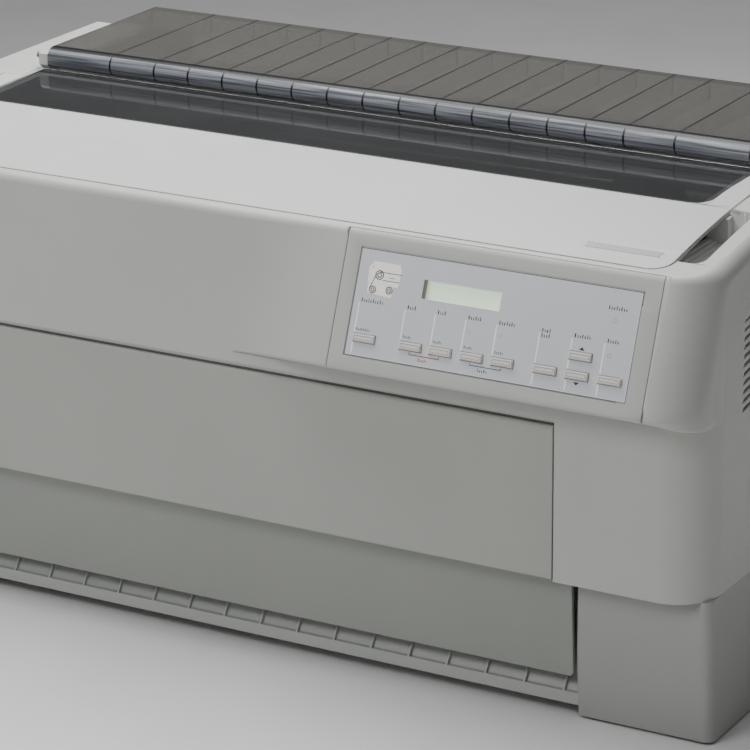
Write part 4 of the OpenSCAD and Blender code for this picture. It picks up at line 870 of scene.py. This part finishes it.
red = bracket(144.8, 167.2, 6.9, 1.9) + strokes(152.2, 3.6, [1.0, 0.8, 1.1, 0.9, 0.8], 1.5, 0.5)
teal = bracket(189.8, 213.2, 6.9, 1.6) + strokes(196.4, 3.6, [0.8, 1.2, 0.9, 1.3, 0.8], 1.5, 0.5)
green = [o for u in (138.4, 161.1, 183.9, 206.6)
         for o in strokes(u, 17.4, [0.9, 1.0, 0.9, 1.0, 0.7], 1.4, 0.4)]
violet = strokes(102.9, 17.4, [1.0, 1.0, 0.9, 0.8, 1.1, 0.9, 1.0, 0.8], 1.4, 0.4)
captions = [(103.2, 36.6, [1.2, 0.9, 1.1, 0.8, 1.2, 1.0, 0.9, 1.1, 1.0, 0.8]),
            (138.2, 36.6, [1.2, 1.0, 1.0, 1.1]), (160.9, 36.6, [1.2, 0.7, 1.0, 1.1]),
            (183.6, 36.6, [1.2, 1.0, 0.9, 1.1, 0.9, 1.0]),
            (206.4, 36.6, [1.1, 1.0, 1.2, 0.9, 1.1, 1.0, 0.9]),
            (237.6, 36.6, [1.1, 0.9, 1.3, 0.9]), (237.6, 33.2, [1.1, 1.0, 1.0, 1.1]),
            (261.0, 36.6, [1.4, 0.9, 1.0, 1.1, 1.2, 0.9, 1.0]),
            (284.6, 36.6, [1.2, 1.0, 1.1, 0.9, 1.1]),
            (281.5, 58.0, [1.2, 1.0, 1.1, 1.0, 0.9, 1.2, 1.0, 1.0])]
arrows = [[(265.6, 29.0), (269.8, 29.0), (267.7, 31.2)], [(265.6, 8.2), (267.7, 6.0), (269.8, 8.2)]]
grey = [o for u, v, lengths in captions for o in strokes(u, v, lengths, 1.9)] + arrows
for tone, outlines, colour in (
        ("red", red, (158, 66, 62)), ("teal", teal, (48, 112, 128)),
        ("green", green, (60, 124, 126)), ("violet", violet, (92, 82, 130)),
        ("grey", grey, (44, 46, 50))):
    printed("panel_" + tone + "_ink", outlines, ink(tone + "_ink", shade(*colour)))
print("caption strokes:", len(grey) + len(green) + len(violet))

# %% [markdown]
# The film ends in a thin dark outline, painted shade for the groove round the inset
# film, with a lighter line inside it at the foot and at the right: a painted
# highlight where its cut edge catches the light. Every key has a fine frame moulded
# into its top, drawn as a grey line of painted shade in the groove. Each is four
# rules round a rectangle. The display sits in a pocket; a narrow dark strip at its
# left end is painted shadow from the pocket's wall.

# %% The film's painted shade and highlight, and the painted grooves on every key
def frame_rules(u0, v0, u1, v1, w):
    """Four rules of width w just inside a rectangle: foot, top, left and right."""
    return [rule(u0, v0, u1, v0 + w), rule(u0, v1 - w, u1, v1),
            rule(u0, v0 + w, u0 + w, v1 - w), rule(u1 - w, v0 + w, u1, v1 - w)]


EDGE_LEVELS = (-0.05, 0.1)
# Painted shade and highlight: a dark outline for the groove, a light line for the lit edge.
border = frame_rules(96.9, 0.1, 304.1, 72.3, 0.55)
low_line, _, _, right_line = frame_rules(97.45, 0.65, 303.55, 71.75, 0.35)
printed("panel_border_shade", border, ink("border_shade_paint", shade(104, 106, 108)), EDGE_LEVELS)
printed("panel_edge_highlight", [low_line, right_line],
        ink("edge_highlight_paint", shade(244, 246, 248)), EDGE_LEVELS)
# Painted shadow: a dark strip over the display's left end, where the pocket's wall shades it.
printed("display_painted_shadow", [rule(147.0, 45.0, 149.3, 57.6)],
        ink("pocket_painted_shadow", shade(112, 114, 110)), (-0.9, -0.2))
# Painted shade: the grey frame on each key stands for the shade in a groove in its top.
key_groove_shade = ink("key_groove_painted_shade", shade(150, 150, 148))
caps = {"key_tractor_select": (101.6, 118.4, 12.6), "key_font": (136.8, 153.4, 12.4),
        "key_pitch": (159.2, 175.8, 12.4), "key_tear_off": (182.3, 198.9, 12.4),
        "key_top_of_form": (205.0, 221.4, 12.4), "key_line_feed": (235.8, 252.6, 12.6),
        "key_micro_up": (259.4, 275.8, 25.0), "key_micro_down": (259.0, 275.6, 12.4),
        "key_pause": (282.4, 299.2, 12.6)}
for cap, (u0, u1, v) in caps.items():
    outline = frame_rules(u0 + 1.5, v - 1.35, u1 - 1.5, v + 1.35, 0.35)
    printed(cap + "_line", outline, key_groove_shade, (1.95, 2.04), cap)
print("keys with a fine frame:", len(caps))

# %% [markdown]
# A paper sticker at the film's upper left shows how the paper runs: a dark line
# over and under the round feed wheels. It is print as well, one layer of paper
# and one of ink, and a ring is drawn as short wedges because every outline that
# is raised has to be convex.

# %% The paper path sticker
PAPER = shade(254, 252, 245)


def hoop(u, v, r, thick, n=20):
    """A ring in n short wedges, each a four-sided outline between two radii."""
    a = np.linspace(0.0, 2 * np.pi, n + 1)
    arc = np.stack([np.cos(a), np.sin(a)], 1)
    inner, outer = (u, v) + (r - thick / 2) * arc, (u, v) + (r + thick / 2) * arc
    return list(np.stack([inner[:-1], outer[:-1], outer[1:], inner[1:]], 1))


sticker = [[(106.2, 43.2), (124.6, 41.6), (125.2, 49.0), (106.2, 50.4)],
           [(105.4, 50.4), (128.6, 49.0), (129.3, 60.4), (127.6, 64.2), (108.6, 64.6),
            (105.0, 60.4)]]
path = [rule(113.6, 57.6, 129.8, 58.1), rule(116.0, 52.4, 128.8, 52.9),
        rule(121.0, 54.6, 125.6, 55.0),
        [(107.2, 46.2), (107.7, 46.0), (111.4, 56.0), (110.9, 56.3)],
        [(107.2, 60.2), (109.0, 60.2), (109.0, 60.6), (107.2, 60.6)]]
wheels = [o for u, v, r, thick in (
    (113.5, 55.8, 2.9, 0.75), (113.5, 55.8, 1.5, 0.8), (110.0, 45.6, 2.3, 0.7),
    (110.0, 45.6, 1.1, 0.7), (122.4, 46.6, 2.3, 0.75), (122.4, 46.6, 1.1, 0.7))
    for o in hoop(u, v, r, thick)]
# Painted light: the sticker's paper glows a little so that it looks brighter.
printed("path_sticker", sticker, lit(ink("sticker_paper_painted_glow", PAPER, 0.6), PAPER, 0.12), (0.0, 0.12))
printed("path_sticker_lines", path + wheels, ink("sticker_lines", shade(88, 88, 85)), (0.12, 0.17))
print("sticker outlines:", len(sticker), "line pieces:", len(path + wheels))

# %% [markdown]
# The panel's frame ends where the round corner of the case begins, so its face
# has to run out square there. A band of wall is added behind the face and a
# straight cutter, the bulge's side view drawn along x, trims both.

# %% The panel frame
ends = np.linspace(298.0, 316.45, 4)
band = wall_rings(along_x(ends, bulge), slice(None), slice(TOP_ROWS + 3, WALL_END), np.zeros(4))
frame_wall = closed_tube("frame_wall", band)
straight = along_x(np.linspace(290.0, 330.0, 4), skinned(bulge[None]))
frame_cut = closed_tube("frame_cut", with_outside(straight))
bezel_mesh = trimmed(merged_copy("panel_frame", "panel_bezel"), [frame_wall], [frame_cut])
even_shading(piece("panel_frame", bezel_mesh, "panel_bezel", stands_in=True))
print("panel frame faces:", len(bezel_mesh.polygons))

# %% [markdown]
# Where the fingers go in beside the printer cover, the cover is only a thin edge
# with a dark space under it, so its skirt is cut away there from a copy of the
# solid. The gap round the cover is widened as well: scaling would make it uneven,
# so every point near the rounded outline moves in by the same amount.

# %% The cover with its thin edge
def under_crown(x0, x1, y0, y1, z0, depth):
    """A block whose top stays a set depth below the crowned top of the case."""
    y = np.linspace(y0, y1, 12)
    ring = np.concatenate([np.stack([y, crown(y) - depth], 1), [[y1, z0], [y0, z0]]])
    return along_x([x0, x1], ring)


def drawn_in(mesh, by=0.95, half=313.5, front=-149.7, r=15.0, band=5.0):
    """Moves the cover's edge inwards: every point within the band of the rounded
    outline goes towards the outline's core rectangle by the same amount."""
    p = np.empty(3 * len(mesh.vertices))
    mesh.vertices.foreach_get("co", p)
    p = p.reshape(-1, 3) / MM
    core = np.stack([np.clip(p[:, 0], -half + r, half - r), np.maximum(p[:, 1], front + r)], 1)
    d = p[:, :2] - core
    away = np.hypot(d[:, 0], d[:, 1])
    edge = (away > r - band) & (p[:, 1] < 16.0)
    p[:, :2] -= np.where(edge, by / np.maximum(away, 1e-6), 0.0)[:, None] * d
    mesh.vertices.foreach_set("co", (p * MM).ravel())
    mesh.update()
    return mesh


skirt_cut = closed_tube("skirt_cut", under_crown(306.0, 316.0, -131.0, -47.5, 300.0, 3.0))
cover_mesh = trimmed(drawn_in(merged_copy("top_cover", "printer_cover")), [], [skirt_cut])
even_shading(piece("top_cover", cover_mesh, "printer_cover", stands_in=True))
print("cover faces:", len(cover_mesh.polygons))

# %% [markdown]
# The floor of the tub climbs towards the cover in low steps, and under the cover's
# edge it is dark: the ramp is a much darker grey than the case and a dark back wall
# stands for the shadow, both painted shade. A step could be painted; it is cut
# here, so that it still shows from above. Two short walls close the ramp at the back.

# %% The ramp in the finger recess
TUB_FLOOR, RAMP_X0, RAMP_X1 = 314.2, 299.5, 331.5
RAMP_HIGH, RAMP_FALL, RAMP_STEPS = 324.0, 9.2, 9


def ramp_rings(n=37):
    """Across x the height falls by 9.2 mm: three quarters of it in nine level steps and
    a quarter evenly. The ends follow the tub's round corners: y comes in by r less
    the root of (r squared - d squared), d the way past the corner's centre."""
    x = np.linspace(RAMP_X0, RAMP_X1, n)
    steps = np.floor(np.linspace(0.0, RAMP_STEPS - 0.01, n)) / RAMP_STEPS
    z = RAMP_HIGH - RAMP_FALL * (0.75 * steps + 0.25 * np.linspace(0.0, 1.0, n))
    past = np.clip(x - (TUB_X - TUB_R), 0.0, TUB_R - 0.01)
    shift = TUB_R - np.sqrt(TUB_R ** 2 - past ** 2)
    y0, y1, low = TUB_Y0 + shift, TUB_Y1 - shift, np.full(n, TUB_FLOOR)
    corners = [(y0, z), (y1, z), (y1, low), (y0, low)]
    return np.stack([np.stack([x, y, height], 1) for y, height in corners], 1)


back_walls = [
    closed_tube("ramp_end", under_crown(299.0, 315.0, -56.5, -49.6, TUB_FLOOR, 3.6)),
    closed_tube("ramp_close", under_crown(312.0, 332.0, -49.9, -47.0, TUB_FLOOR, 2.2))]
ramp_mesh = trimmed(closed_tube("recess_ramp", ramp_rings()), back_walls, [])
shadow_mesh = closed_tube("recess_back", under_crown(297.9, 299.8, -131.0, -50.0, TUB_FLOOR, 3.4))
piece("recess_ramp", ramp_mesh, "main_case")
piece("recess_back", shadow_mesh, "main_case")
# Painted shade: a dark back wall for the shadow under the cover, and a darkened ramp.
shadow_mesh.materials.append(moulded("recess_shadow", shade(40, 41, 39), 0.6))
ramp_mesh.materials.append(moulded("recess_painted_shade", shade(98, 102, 98), 0.5))
print("ramp faces:", len(ramp_mesh.polygons), "back wall faces:", len(shadow_mesh.polygons))

# %% [markdown]
# The lid is a bent sheet: a flat top that runs into a round nose. Its own mesh is
# used with welded points, so the nose is shaded as one curve. Behind the slot over
# the front cover lies the case's inner wall, here a thin strip of its own, made
# dark grey as painted shade.

# %% The lid, and the wall behind the slot
lid = piece("paper_lid", merged_copy("paper_lid", "rear_cover"), "rear_cover", stands_in=True)
even_shading(lid)
slot_outline = np.array([[-161.8, 212.3], [-160.6, 212.3], [-160.6, 218.0], [-161.8, 218.0]])
backing = closed_tube("slot_backing", along_x([-241.0, 241.0], slot_outline))
piece("slot_backing", backing, "main_case")
# Painted shade: the strip is dark grey for the shade inside the slot.
backing.materials.append(moulded("slot_wall_painted_shade", shade(90, 92, 90)))
print("lid faces:", len(lid.data.polygons))

# %% [markdown]
# A pedestal's front leans back towards the floor, and its corners keep the same
# small radius all the way down. A cutter with that corner, leaning with the face,
# takes the sharp rest off.

# %% Leaning corners of the pedestals
def corner_rings(sx, x_side, y_foot=-141.7, y_top=-150.5, r=7.0, n=9):
    """Slices up a corner: an arc of radius r that ends on the front and on the side,
    closed by a point outside both. The front's y runs linearly from foot to top."""
    z = np.linspace(0.5, 107.0, 9)[:, None]
    y = y_foot + (y_top - y_foot) * (z - 1.0) / 105.0
    a = np.radians(np.linspace(0.0, 90.0, n))[None, :]
    beyond = np.full_like(z, x_side + sx * 2.0)
    arc_x = np.broadcast_to(x_side + sx * (r * np.sin(a) - r), (len(z), n))
    arc_y = y + r - r * np.cos(a)
    x = np.concatenate([arc_x[:, :1], arc_x, beyond, beyond], 1)
    y = np.concatenate([y - 2.0, arc_y, arc_y[:, -1:], y - 2.0], 1)
    return np.stack([x, y, np.broadcast_to(z, x.shape)], -1)


for side, sx in (("right", 1), ("left", -1)):
    name = side + "_pedestal"
    cut = closed_tube(name + "_corner", corner_rings(sx, sx * HALF_W))
    leg_mesh = trimmed(merged_copy(name, name), [], [cut])
    even_shading(piece(name + "_moulding", leg_mesh, name, stands_in=True))
    print(name, "faces:", len(leg_mesh.polygons))

# %% [markdown]
# The pane's front corners are rounded, and the cover's moulding fills them. Two
# thin fillets, cut to the space between a square corner and an arc, lie on the
# pane. They ride on the cover, like the pane itself. The badge gets a thin rim in
# the same way, four slanted rules that follow the crowned top.

# %% Corner fillets on the pane, and the badge's rim
def deck_point(x, y, lift):
    """A point on the printer cover: z is the crown's height there plus a lift."""
    x, y, lift = np.broadcast_arrays(np.asarray(x, float), y, lift)
    return np.stack([x, y, crown(y) + lift], -1)


PANE_CORNER = (294.9, -46.7)


def corner_fillet(sx, r=13.0, n=12):
    """Thin slices between the pane's corner and an arc of radius r centred r in from
    both edges; sx is 1 at the right corner and -1 at the left."""
    a = np.radians(np.linspace(0.0, 90.0, n + 1))
    arc = np.array(PANE_CORNER) + r * np.stack([np.sin(a) - 1.0, 1.0 - np.cos(a)], 1)
    slices = np.stack([np.broadcast_to(PANE_CORNER, (n, 2)), arc[1:], arc[:-1]], 1)
    slices = slices * (sx, 1.0)
    return list(slices if sx > 0 else slices[:, ::-1])


def turned_left(ring):
    """The outline itself where it turns left, and reversed where it turns right."""
    first, second = np.subtract(ring[1], ring[0]), np.subtract(ring[2], ring[1])
    return ring if first[0] * second[1] > first[1] * second[0] else ring[::-1]


fillet_mesh = raised(corner_fillet(1) + corner_fillet(-1), -1.6, 0.12, deck_point)
fillet_mesh.materials.append(cover_plastic)
piece("pane_fillets", fillet_mesh, "printer_cover")
rim = [[(249.7, -133.2), (301.5, -133.2), (301.2, -132.75), (250.0, -132.75)],
       [(246.5, -126.0), (246.9, -126.45), (298.0, -126.45), (298.3, -126.0)],
       [(249.7, -133.2), (250.2, -132.8), (247.1, -126.4), (246.5, -126.0)],
       [(301.5, -133.2), (298.3, -126.0), (297.8, -126.4), (300.9, -132.8)]]
rim_mesh = raised([turned_left(ring) for ring in rim], 0.0, 0.14, deck_point)
rim_mesh.materials.append(ink("badge_edge", shade(118, 120, 124)))
piece("badge_rim", rim_mesh, "badge_plate")
print("fillet faces:", len(fillet_mesh.polygons), "rim faces:", len(rim_mesh.polygons))
